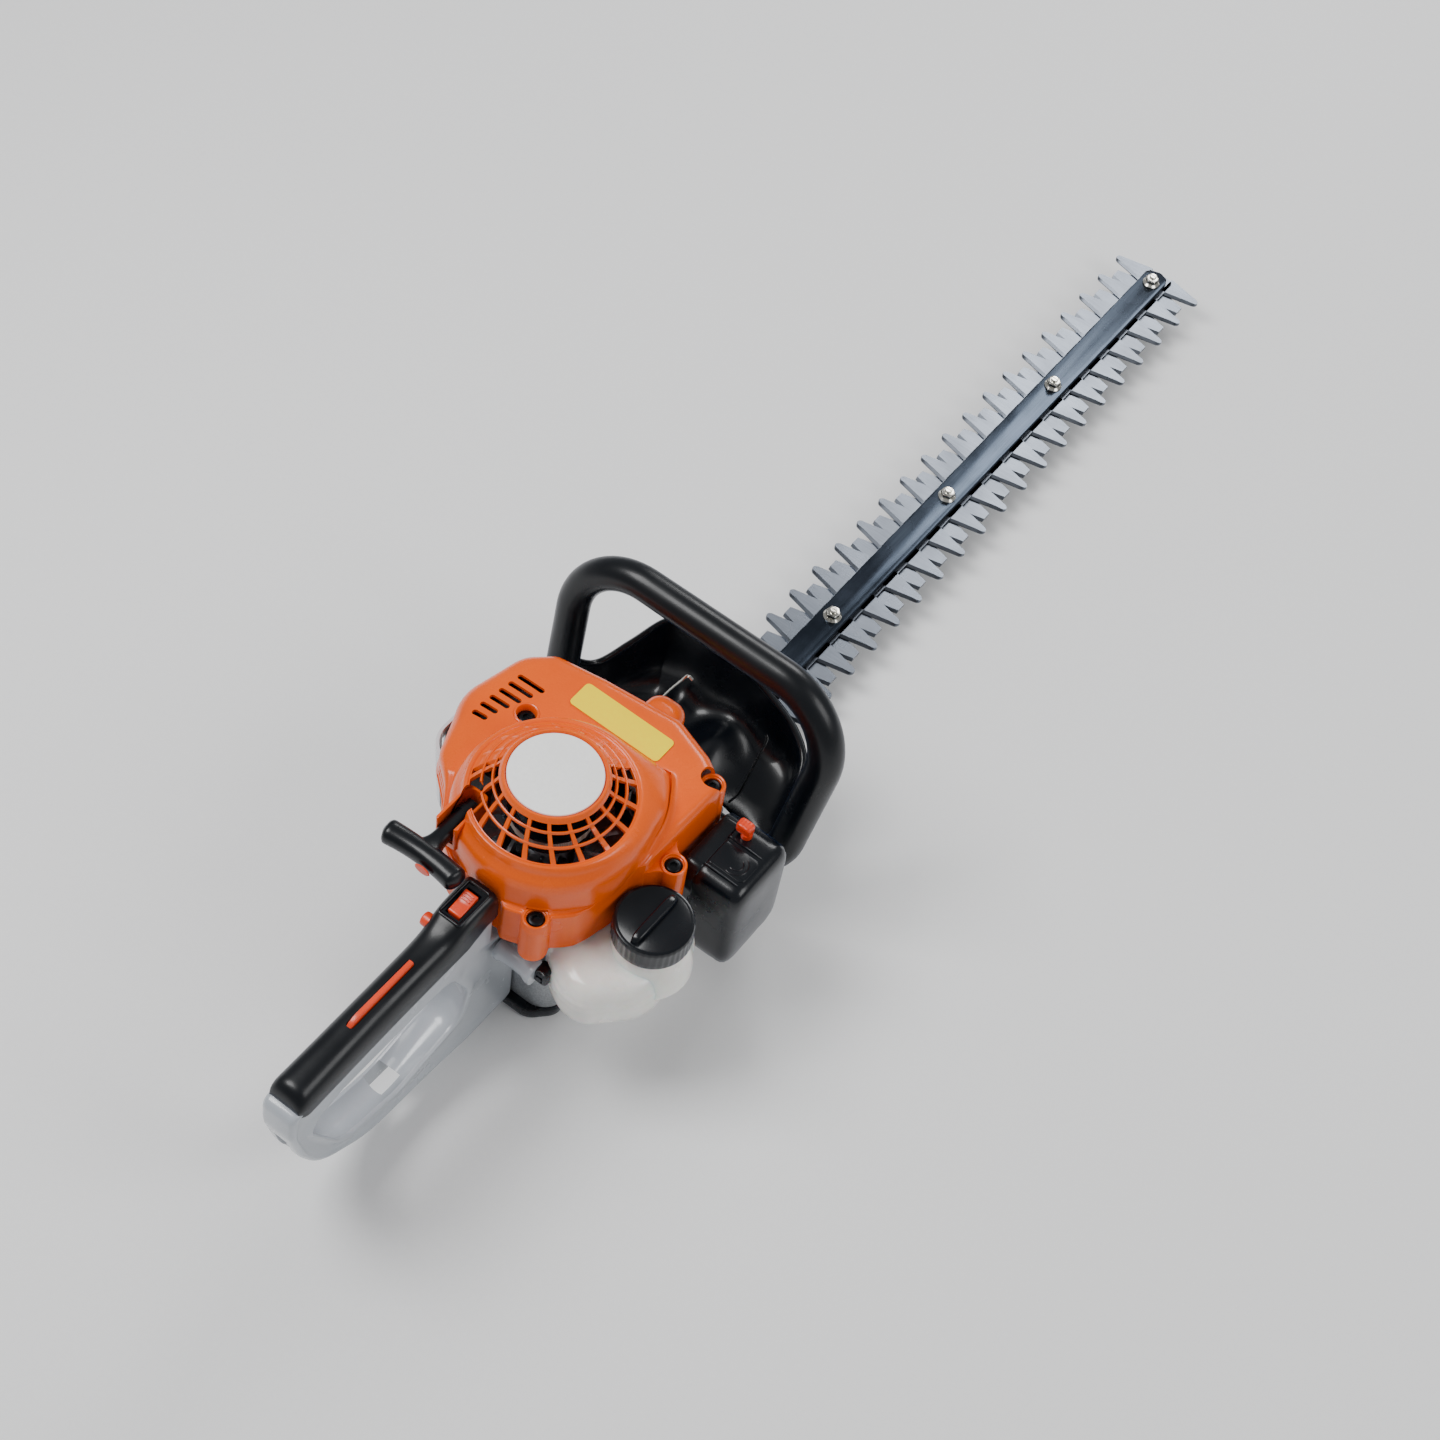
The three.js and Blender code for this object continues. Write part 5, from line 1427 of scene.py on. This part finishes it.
# ------------------------------------------------------------------ front handle and guard
@dataclass
class FrontHandle:
    """The loop handle round the front of the engine."""

    half: float = 110.0
    top: float = 196.0
    foot: float = 40.0
    lean: float = 0.22
    base_y: float = 133.0
    tube: float = 11.9
    tube_growth: float = 0.9
    clamp: float = 14.2
    clamp_inner: float = 30.4
    clamp_outer: float = 44.0

    def at(self, plane: Points) -> Points:
        """Points [x, z] of an upright plane put in the handle's leaning plane."""
        return np.stack([plane[:, 0], self.base_y + self.lean * (plane[:, 1] - 25), plane[:, 1]], -1)

    def build(self) -> None:
        """Builds the tube and the clamps at its feet."""
        foot = self.half - 12
        plane = rounded([
            (-30.5, self.foot, 0), (-foot, self.foot, 44),
            (-self.half, self.top, 50), (self.half, self.top, 50),
            (foot, self.foot, 44), (30.5, self.foot, 0),
        ], 5.0, closed=False)
        path = self.at(plane)
        share = np.clip((path[:, 0] + self.half) / (2 * self.half), 0, 1)
        radius = self.tube + self.tube_growth * share
        up = np.array([0, 1, -self.lean])
        tube = sweep("tube", path, radius, radius, up, 40)
        shells = [tube]
        for side in (-1, 1):
            reaches = (self.clamp_inner, self.clamp_outer)
            ends = self.at(np.array([(side * x, self.foot) for x in reaches]))
            path = np.linspace(ends[0], ends[1], 7)
            shells.append(sweep("clamp", path, self.clamp, self.clamp, up, 36, 2.8))
        fit(merge("loop_handle", shells), GRIP_BLACK, "engine", "black_plastic", "front_handle")


@dataclass
class HandGuard:
    """The broad dished shield between the front hand and the blade."""

    wall: float = 3.0
    roll: float = 2.3
    # Stations of the upper edge, from the left wing round the front to the right wing.
    edge: Line = (
        (-97, 150, 96), (-86, 168, 84), (-74, 190, 96), (-60, 207, 116), (-44, 213, 125), (-20, 215, 121),
        (8, 215, 112), (34, 213, 102), (56, 209, 92), (73, 198, 84), (82, 178, 78), (90, 160, 84),
        (98, 150, 92),
    )
    bright_hook: Line = (
        (-25, 156, 59), (-23, 146, 76), (-22, 140, 96), (-25, 148, 104), (-16, 150, 132), (-6, 150, 156),
        (-3, 151, 162), (1, 151, 161),
    )
    dark_rod: Line = (
        (47, 151, 56), (50, 147, 66), (54, 150, 78), (60, 150, 118), (65, 150, 150), (64, 150, 158),
    )

    def lip(self) -> Points:
        """The shield's upper edge, from the left wing round the front to the right wing."""
        return curve_through(self.edge, 130)

    def build(self) -> None:
        """Builds the dish, its rolled edge and the two wire hooks.

        Each column is a curve of three points: the lip, a low corner under it, and a point on the
        line where the dish meets the gearbox. A broad hump in the middle lifts it.
        """
        lip = self.lip()
        s = np.linspace(-1, 1, len(lip))
        inward = 1 - 0.1 * np.abs(s)
        low = np.stack([lip[:, 0] * inward, np.minimum(lip[:, 1] + 2, 210), np.full(len(lip), 42.5)], -1)
        back = np.stack([66 * s, 152 - 6 * s**2, 54 + 6 * np.exp(-((s / 0.4) ** 2))], -1)
        v = np.linspace(0, 1, 44)[:, None, None]
        upper = (1 - v) ** 3 * lip + 3 * (1 - v) ** 2 * v * (0.35 * lip + 0.65 * low)
        grid = upper + 3 * (1 - v) * v**2 * low + v**3 * back
        x, y = grid[..., 0], grid[..., 1]
        hump = 13 * np.exp(-(((x - 12) / 17) ** 2) - ((y - 182) / 26) ** 2)
        crease = 5 * np.exp(-(((x + 30) / 10) ** 2) - ((y - 190) / 20) ** 2)
        grid[..., 2] += hump + crease
        dish = surface("dish", grid, closed=False, caps=False, keep=np.ones((43, len(lip) - 1), bool))
        settle(dish, "SOLIDIFY", thickness=self.wall * MM, offset=-1, use_rim=True)
        roll = sweep("roll", lip + [0, 0, -0.5], self.roll, self.roll, (0, 0.3, 1), 14)
        fit(merge("dished_hand_guard", [dish, roll]), BLACK, "engine", "black_plastic", "hand_guard")
        self.wire("bright_wire_hook", self.bright_hook, 1.0, ZINC)
        self.wire("dark_wire_rod", self.dark_rod, 0.9, BLACK_OXIDE)

    @staticmethod
    def wire(name: str, points: Line, radius: float, finish: Finish) -> None:
        """A bent wire through points.

        Args:
            name: the piece's name.
            points: where the wire runs.
            radius: half its thickness.
            finish: its material.
        """
        made = sweep(name, curve_through(points, 48), radius, radius, (1, 0, 0), 12)
        fit(made, finish, "engine", "bright_steel")


# ------------------------------------------------------------------ rear handle
@dataclass
class RearHandle:
    """The closed rear handle: a grey frame, a black shell and the controls."""

    half: float = 13.5
    split: float = 148.0
    top: float = 163.0
    front: float = -70.0
    rear: float = -250.0

    def frame(self) -> None:
        """The grey frame: a section carried round between its outer edge and the finger opening."""
        outer = rounded([
            (-42.3, 10, 4), (-86, 10, 60), (-127, 17, 200), (-190, 23, 75), (-236, 55, 75),
            (self.rear - 1, 88, 75),
            (self.rear - 9, 124, 40), (self.rear - 8, self.split, 6), (self.front, self.split, 6),
            (self.front, 120, 6), (-56.3, 112, 6), (-42.3, 60, 8),
        ], 1.0)
        inner = rounded([
            (-100, 52, 18), (-160, 42, 34), (-214, 54, 26),
            (-246, 118, 18), (-214, 127, 14), (-112, 123, 20),
            (-92, 82, 18),
        ], 1.0)
        centre = np.array([-165.0, 88.0])
        angle = np.linspace(0, TURN, 420, endpoint=False)
        way = np.stack([np.cos(angle), np.sin(angle)], -1)
        out = reach(outer, centre, angle)
        hole = reach(inner, centre, angle)
        width = out - hole
        edge = np.minimum(4.0, 0.3 * width)
        h = self.half - 0.6
        turn = np.radians(np.linspace(0, 90, 5))
        stations: list[tuple[Points, float]] = []
        for a in turn:
            stations.append((out - edge + edge * math.sin(math.pi / 2 - a), h - 4 * (1 - math.sin(a))))
        side = np.linspace(0, 1, 9)[1:-1]
        for f in side:
            dish = 1.8 * min(1, 4 * (1 - f)) * min(1, 5 * f)
            stations.append((out - edge - (width - edge - 2.4) * f, h - dish))
        low_part = np.clip(-np.sin(angle) * 1.6 + 0.75, 0, 1) * np.clip(1.5 - 1.2 * np.cos(angle), 0.45, 1)
        trough = np.minimum(7.0, 0.42 * width) * low_part
        for a in turn[::-1]:
            stations.append(
                (hole + 1.6 - 1.6 * math.sin(math.pi / 2 - a), h + 0.5 - 1.6 * (1 - math.sin(a)))
            )
        inward = [
            (hole + trough * (1 - (v / (h - 2.4)) ** 2), v) for v in np.linspace(h - 2.4, 2.4 - h, 25)
        ]
        radii = np.stack([r for r, _ in stations] + [r for r, _ in inward] + [r for r, _ in stations[::-1]])
        x = np.array([v for _, v in stations] + [v for _, v in inward] + [-v for _, v in stations[::-1]])
        spots = centre + way[:, None] * radii.T[..., None]
        grid = np.concatenate([np.repeat(x[None, :, None], len(angle), 0), spots], -1)
        made = surface("handle_frame_grey", grid, caps=False, ring=True)
        low, high = corners("throttle_trigger")
        slot = prism("slot", square(low[1] - 5, 108, high[1] + 2, 141), "x", -6, 6)
        low, high = corners("lockout_lever")
        lever_slot = prism("slot", square(low[1] - 2, 138, high[1] + 2, 150), "x", -4, 4)
        drain = prism("drain", rounded([
            (-169, 14, 2), (-138, 14, 2), (-156, 52, 3), (-167, 52, 3),
        ], 1), "x", -11, 5)
        groove = prism("groove", rounded([
            (-270, 64, 0), (-246, 74, 5), (-247, 106, 5), (-270, 116, 0),
        ], 1), "x", -5, 5)
        carve(made, slot, lever_slot, drain, groove)
        fit(made, GREY, "engine", "grey_frame", "handle_frame")

    def shell(self) -> None:
        """The black top shell: a flat-bottomed oval section carried back along the handle."""
        y = np.linspace(self.front + 2, self.rear - 1.5, 90)
        share = (self.front - y) / (self.front - self.rear)
        rise = 8.5 * (1 / (1 + np.exp((-104 - y) / 5)))
        crown = self.top - self.split - 1.5 * np.clip((share - 0.6) / 0.4, 0, 1) + rise
        tail = np.sqrt(np.clip(1 - np.clip((self.rear + 8 - y) / 10, 0, 1) ** 2, 0.06, 1))
        nose = np.sqrt(np.clip(1 - np.clip((y - (self.front - 2)) / 4, 0, 1) ** 2, 0.3, 1))
        half = (
            self.half + 0.5 - 0.8 * np.sin(math.pi * share)
        ) * (0.75 + 0.25 * tail) * (0.93 + 0.07 * nose)
        height = crown * tail * (0.9 + 0.1 * nose)
        power = 2.3 + 2.2 * (1 / (1 + np.exp((-104 - y) / 5)))
        angle = np.linspace(0, math.pi, 29)
        cos, sin = np.cos(angle)[None], np.sin(angle)[None]
        exponent = 2 / power[:, None]
        x = half[:, None] * np.sign(cos) * np.abs(cos) ** exponent
        z = self.split + 0.3 + height[:, None] * np.abs(sin) ** exponent
        skirt = 8.0 * np.clip((self.front - 6 - y) / 20, 0.1, 1) * tail
        x = np.concatenate([0.97 * x[:, :1], x, 0.97 * x[:, -1:]], 1)
        z = np.concatenate([z[:, :1] - skirt[:, None], z, z[:, -1:] - skirt[:, None]], 1)
        grid = np.stack([x, np.repeat(y[:, None], 31, 1), z], -1)
        made = surface("handle_shell_black", grid)
        low, high = corners("lockout_lever")
        outline = oblong(-2.8, low[1] + 4, 2.8, high[1] - 1, 2, 0.8)
        lever_slot = prism("slot", outline, "z", self.split - 12, self.top + 12)
        low, high = corners("stop_switch")
        outline = square(low[0] - 0.8, low[1] - 1.6, high[0] + 0.8, high[1] + 1.6)
        pocket = prism("pocket", outline, "z", low[2] - 2, high[2] + 6)
        low, high = corners("half_throttle_button")
        middle = (low + high) / 2
        bore = [(0, low[0] - 6), (5.3, low[0] - 6), (5.3, high[0] + 3), (0, high[0] + 3)]
        well = turned("well", bore, (0, middle[1], middle[2]), "x", 40)
        carve(made, lever_slot, pocket, well)
        fit(made, GRIP_BLACK, "engine", "black_plastic", "handle_shell")
        self.panel()

    def panel(self) -> None:
        """The bezel that fills the pocket round the stop switch, and its raised rim."""
        low, high = corners("stop_switch")
        base = self.top + 8
        line = oblong(low[0] - 2, low[1] - 3, high[0] + 2, high[1] + 3, 2, 1.0)
        outline = square(low[0] - 0.6, low[1] - 1.5, high[0] + 0.6, high[1] + 1.5)
        plate = prism("plate", outline, "z", low[2] - 1.5, base - 0.3)
        gap = square(-5.6, low[1] + 0.1, 5.6, high[1] - 1.4)
        carve(plate, prism("hole", gap, "z", low[2] - 3, base + 4))
        fit(plate, BLACK, "engine", "black_plastic").name = "switch_plate"
        path = np.insert(line, 2, base - 0.2, axis=1)
        rim = sweep("switch_bezel", path, 1.0, 0.9, (0, 0, 1), 10, ring=True)
        fit(rim, BLACK, "engine", "black_plastic")

    def controls(self) -> None:
        """The lever, trigger, switch and button that a hand works."""
        low, high = corners("lockout_lever")
        s = np.linspace(0, 1, 30)
        y = low[1] + 5 + (high[1] - low[1] - 7) * s
        crest = self.top + 3.8 - 1.4 * s - 5.5 * np.clip((0.14 - s) / 0.14, 0, 1) ** 2
        path = np.stack([0 * s, y, (crest + self.split) / 2 + 1], -1)
        lever = sweep("lockout_strip", path, 2.2, (crest - self.split) / 2 - 1, (0, 0, 1), 20, 4.5)
        fit(lever, CONTROL, "lockout", "control_orange", "lockout_lever")
        low, high = corners("throttle_trigger")
        outline = rounded([
            (high[1], high[2] - 1, 4), (high[1] - 1, 116, 6), (-124, low[2], 7), (-136, 106, 10),
            (low[1], 119, 5), (low[1], 130, 4),
        ], 0.8)
        trigger = prism("finger_trigger", outline, "x", low[0], high[0], 1.6)
        fit(trigger, CONTROL, "trigger", "control_orange", "throttle_trigger")
        low, high = corners("stop_switch")
        low, high = low + [1.5, 2, 0], high - [1.5, 4, 0]
        outline = rounded([
            (low[1], low[2], 1), (high[1], low[2], 1), (high[1], high[2], 1.5),
            ((low[1] + high[1]) / 2, high[2] - 2.6, 8),
            (low[1], high[2] - 3.6, 1.5),
        ], 0.6)
        rocker = prism("rocker", outline, "x", low[0], high[0], 0.9)
        marks = [rocker]
        for k in (-1, 0, 1):
            t = np.linspace(-1, 1, 6)
            path = np.stack(
                [3.2 * t, np.full(6, high[1] - 5 + 2 * k), np.full(6, high[2] - 0.6 + 0.45 * k)], -1
            )
            marks.append(sweep("rib", path, 0.45, 0.45, (0, 0, 1), 8))
        fit(merge("stop_rocker", marks), CONTROL, "switch", "control_orange", "stop_switch")
        low, high = corners("half_throttle_button")
        middle = (low + high) / 2
        profile = [
            (0, low[0]), (3.2, low[0] + 0.1), (4.6, low[0] + 0.8), (5.0, low[0] + 2), (5.0, high[0]),
            (0, high[0])
        ]
        button = turned("hold_button", profile, (0, middle[1], middle[2]), "x", 40)
        fit(button, CONTROL, "button", "control_orange", "half_throttle_button")

    def mount(self) -> None:
        """The damper between handle and engine: a waisted grey sleeve."""
        low, high = corners("mount_bush")
        middle = (low + high) / 2
        a, b = low[0], high[0]
        sleeve = turned("damper_sleeve", [
            (0, a), (7.4, a), (8.2, a + 1.5), (8.4, a + 4), (7.2, a + 6), (6.8, (a + b) / 2), (7.3, b - 7),
            (8.6, b - 4), (9, b - 2), (8.8, b), (0, b),
        ], (0, middle[1], middle[2]), "x", 56)
        fit(sleeve, GREY, "engine", "grey_frame", "mount_bush")

    def build(self) -> None:
        """Builds the rear handle."""
        self.frame()
        self.shell()
        self.controls()
        self.mount()


# ------------------------------------------------------------------ engine block
@dataclass
class Engine:
    """What shows of the engine, the exhaust guard and the base."""

    guard_top: float = 147.5
    guard_centre: tuple[float, float] = (-60.0, 40.0)
    guard_wall: float = 0.045
    side_louvres: int = 7
    rear_louvres: int = 4
    tray_ribs: int = 5
    case_bosses: Line = (
        (-36, -30), (36, -30), (-37, 20), (37, 20), (-37, 72), (37, 72), (-24, 136), (24, 136),
    )
    case_fins: int = 7

    def guard(self) -> None:
        """The grey exhaust guard: a bowed wall with a rolled lower edge and upright louvres."""
        low, high = corners("muffler_guard")
        outline = rounded([
            (
                low[0], low[1] + 22, 22
            ), (low[0] + 34, low[1], 18), (-58, low[1] + 1, 3), (-58, high[1] - 1, 3),
            (low[0] + 10, high[1], 12), (low[0], high[1] - 14, 14),
        ], 1.2)
        centre = np.array(self.guard_centre)
        t = np.linspace(0, 1, 22)
        ceiling = self.guard_top
        z = ceiling - (ceiling - low[2]) * t
        size = 1.0 - 0.06 * t**2 - 0.1 * np.clip((t - 0.85) / 0.15, 0, 1) ** 2
        plan = centre + (outline - centre)[None] * size[:, None, None]
        grid = np.concatenate([plan, np.repeat(z[:, None, None], len(outline), 1)], -1)
        solid = surface("guard", grid)
        plan = centre + (outline - centre)[None] * (size[:, None, None] - self.guard_wall)
        z_in = np.linspace(ceiling + 2, low[2] - 2, 22)
        hollow = surface(
            "hollow", np.concatenate([plan, np.repeat(z_in[:, None, None], len(outline), 1)], -1)
        )
        inner_side = square(-59.8, low[1] - 5, -20, high[1] + 5)
        open_side = prism("open side", inner_side, "z", low[2] - 3, ceiling + 3)
        tools = [hollow, open_side]
        for k in range(self.side_louvres):
            y = 6 + 11 * k
            tools.append(prism("louvre", np.array([
                (low[0] - 3, y), (low[0] + 9, y - 1.5), (low[0] + 9, y + 2.6), (low[0] - 3, y + 4.2),
            ]), "z", low[2] + 9, ceiling - 9))
        for k in range(self.rear_louvres):
            spot = np.array([-98.0 + 9.5 * k, -2.0 - 3.4 * k])
            tools.append(prism("louvre", spot + square(-2, -9, 1.2, 9), "z", low[2] + 9, 124))
        carve(solid, *tools)
        soften(solid, 0.5, 2, 50)
        solid.name = "exhaust_guard"
        fit(solid, GUARD_GREY, "engine", "grey_guard", "muffler_guard")

    def base(self) -> None:
        """The tray that the tool stands on, with a raised edge, and the gearbox over it."""
        low, high = corners("base_tray")
        outline = rounded([
            (-30, low[1], 14), (30, low[1], 14), (44, low[1] + 15, 12), (44, 86, 16),
            (30, high[1] - 10, 10),
            (24, high[1], 8), (-24, high[1], 8),
            (-30, high[1] - 10, 10), (-44, 86, 16), (-44, low[1] + 15, 12),
        ], 2.0)
        tray = prism("tray", outline, "z", 0, high[2] - 0.1, 1.6)
        shells = [tray]
        for y in np.linspace(low[1] + 22, high[1] - 26, self.tray_ribs):
            for side in (-1, 1):
                path = np.stack([np.linspace(40, 44.8, 5) * side, np.full(5, y), np.full(5, 5.0)], -1)
                shells.append(sweep("rib", path, 1.4, 3.6, (0, 0, 1), 12, 4))
        fit(merge("base_tray_moulded", shells), BLACK, "engine", "black_plastic", "base_tray")
        low, high = corners("gearbox_housing")
        outline = rounded([
            (
                -44, low[1], 18
            ), (44, low[1], 18), (44, 84, 16), (30, 110, 16), (30, high[1], 7), (-30, high[1], 7),
            (-30, 110, 16), (-44, 84, 16),
        ], 2.0)
        box = prism("gearbox", outline, "z", low[2], high[2] - 2, 2.2)
        hollow = prism("hollow", 0.9 * (outline - [0, 40]) + [0, 40], "z", low[2] - 2, high[2] - 8)
        slot = prism("slot", square(-13.5, 125, 13.5, 160), "z", low[2] - 2, 33.3)
        seat = turned("seat", [(0, 0), (13, 0), (13, 60), (0, 60)], (0, 0, 20), "z", 48)
        carve(box, hollow, slot, seat)
        shells = [box]
        boss = [(0, 30), (6, 30), (5.8, high[2] - 0.6), (5.2, high[2]), (0, high[2])]
        for x, y in self.case_bosses:
            shells.append(turned("boss", boss, (x, y, 0), "z", 28))
        for k in range(-(self.case_fins // 2), self.case_fins // 2 + 1):
            path = np.stack(
                [np.full(6, 8.0 * k), np.linspace(78, 132 - abs(k) * 2, 6), np.full(6, high[2] - 2.2)], -1
            )
            shells.append(sweep("fin", path, 1.0, 2.0, (0, 0, 1), 10, 3))
        fit(merge("gearbox_cast", shells), CAST, "engine", "cast_alloy", "gearbox_housing")

    def build(self) -> None:
        """Builds the guard and the base."""
        self.guard()
        self.base()


KEPT_FINISHES: dict[Finish, tuple[str, ...]] = {
    CAST: ("crankcase_lower", "crankcase_upper", "cylinder", "carburettor"),
    ZINC: (
        "drum_bearing", "crank_bearing_lower", "crank_bearing_upper", "flywheel_nut", "piston_pin",
        "spark_plug"
    ),
    MACHINED: ("eccentric_wheel", "clutch_drum", "crankshaft", "flywheel_fan", "piston", "connecting_rod"),
    BAR_STEEL: ("clutch_shoes", "recoil_spring"),
    HEATED: ("muffler",),
    BLACK: ("intake_spacer", "rope_pulley", "ignition_coil"),
    RUBBER: ("plug_boot",),
    FOAM: ("filter_element",),
    ROPE: ("starter_rope",),
    YELLOW_FILM: ("colour_band",),
}


def dress_kept_nodes() -> None:
    """Gives each CAD node that still shows its finish."""
    for finish, nodes in KEPT_FINISHES.items():
        for node in nodes:
            dress(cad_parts[node], finish)
            LOG.info("%s: %s", node, finish.name)


# ------------------------------------------------------------------ studio
@dataclass
class Studio:
    """The floor, the soft lights and the camera."""

    place: tuple[float, float, float] = (491.77, -749.11, 1569.59)
    right: tuple[float, float, float] = (0.79581791, 0.59439873, 0.11560279)
    up: tuple[float, float, float] = (-0.54448446, 0.61888138, 0.56614707)
    ahead: tuple[float, float, float] = (-0.26497268, 0.5134939, -0.81615776)
    lens: float = 64.88
    # Each lamp's name, its place in metres, its side in metres and its power in watts.
    lamps: tuple[tuple[str, tuple[float, float, float], float, float], ...] = (
        ("key", (-0.9, -0.5, 1.9), 0.9, 34),
        ("fill", (1.6, 0.4, 1.5), 1.0, 16),
        ("back", (-0.3, 1.9, 1.4), 0.8, 18),
    )
    floor_half: float = 9000.0

    def camera(self) -> None:
        """The camera, from its place and its three directions."""
        data = bpy.data.cameras.new("camera")
        data.lens = self.lens
        data.sensor_width = 36
        data.clip_end = 50
        made = bpy.data.objects.new("camera", data)
        bpy.context.scene.collection.objects.link(made)
        turn = Matrix((self.right, self.up, tuple(-v for v in self.ahead))).transposed().to_4x4()
        made.matrix_world = Matrix.Translation(Vector(self.place) * MM) @ turn
        bpy.context.scene.camera = made

    def light(
        self, name: str, place: tuple, size: float, power: float, target: tuple = (0, 0.2, 0.05)
    ) -> None:
        """A square soft light.

        Args:
            name: its name.
            place: where it hangs, in metres.
            size: its side, in metres.
            power: its strength, in watts.
            target: the point it faces.
        """
        data = bpy.data.lights.new(name, "AREA")
        data.size = size
        data.energy = power
        made = bpy.data.objects.new(name, data)
        bpy.context.scene.collection.objects.link(made)
        made.location = place
        made.rotation_euler = (Vector(target) - Vector(place)).to_track_quat("-Z", "Y").to_euler()

    def build(self) -> None:
        """Builds the studio."""
        self.camera()
        half = self.floor_half
        sheet = np.insert(square(-half, -half, half, half), 2, 0.0, axis=1)
        floor = dress(write_mesh("floor", sheet, [[0, 1, 2, 3]]), FLOOR)
        floor.data.transform(Matrix.Translation((0, 0, -0.0005)))
        for lamp in self.lamps:
            self.light(*lamp)
        world = bpy.data.worlds.new("studio")
        world.use_nodes = True
        tree = world.node_tree
        tree.nodes.clear()
        glow = add_node(tree, "ShaderNodeBackground", {"Color": linear("F6F8FB"), "Strength": 0.36})
        add_node(tree, "ShaderNodeOutputWorld", {"Surface": glow.outputs["Background"]})
        bpy.context.scene.world = world


def main() -> None:
    """Builds the studio and every sub-assembly, in order."""
    logging.basicConfig(level=logging.INFO, format="%(name)s %(message)s")
    Studio().build()
    for kind in (
        Blade, FanHousing, PullGrip, FuelTank, FilterBox, FrontHandle, HandGuard, RearHandle, Engine,
    ):
        LOG.info("building %s", kind.__name__)
        kind().build()
    dress_kept_nodes()


if __name__ == "__main__":
    main()
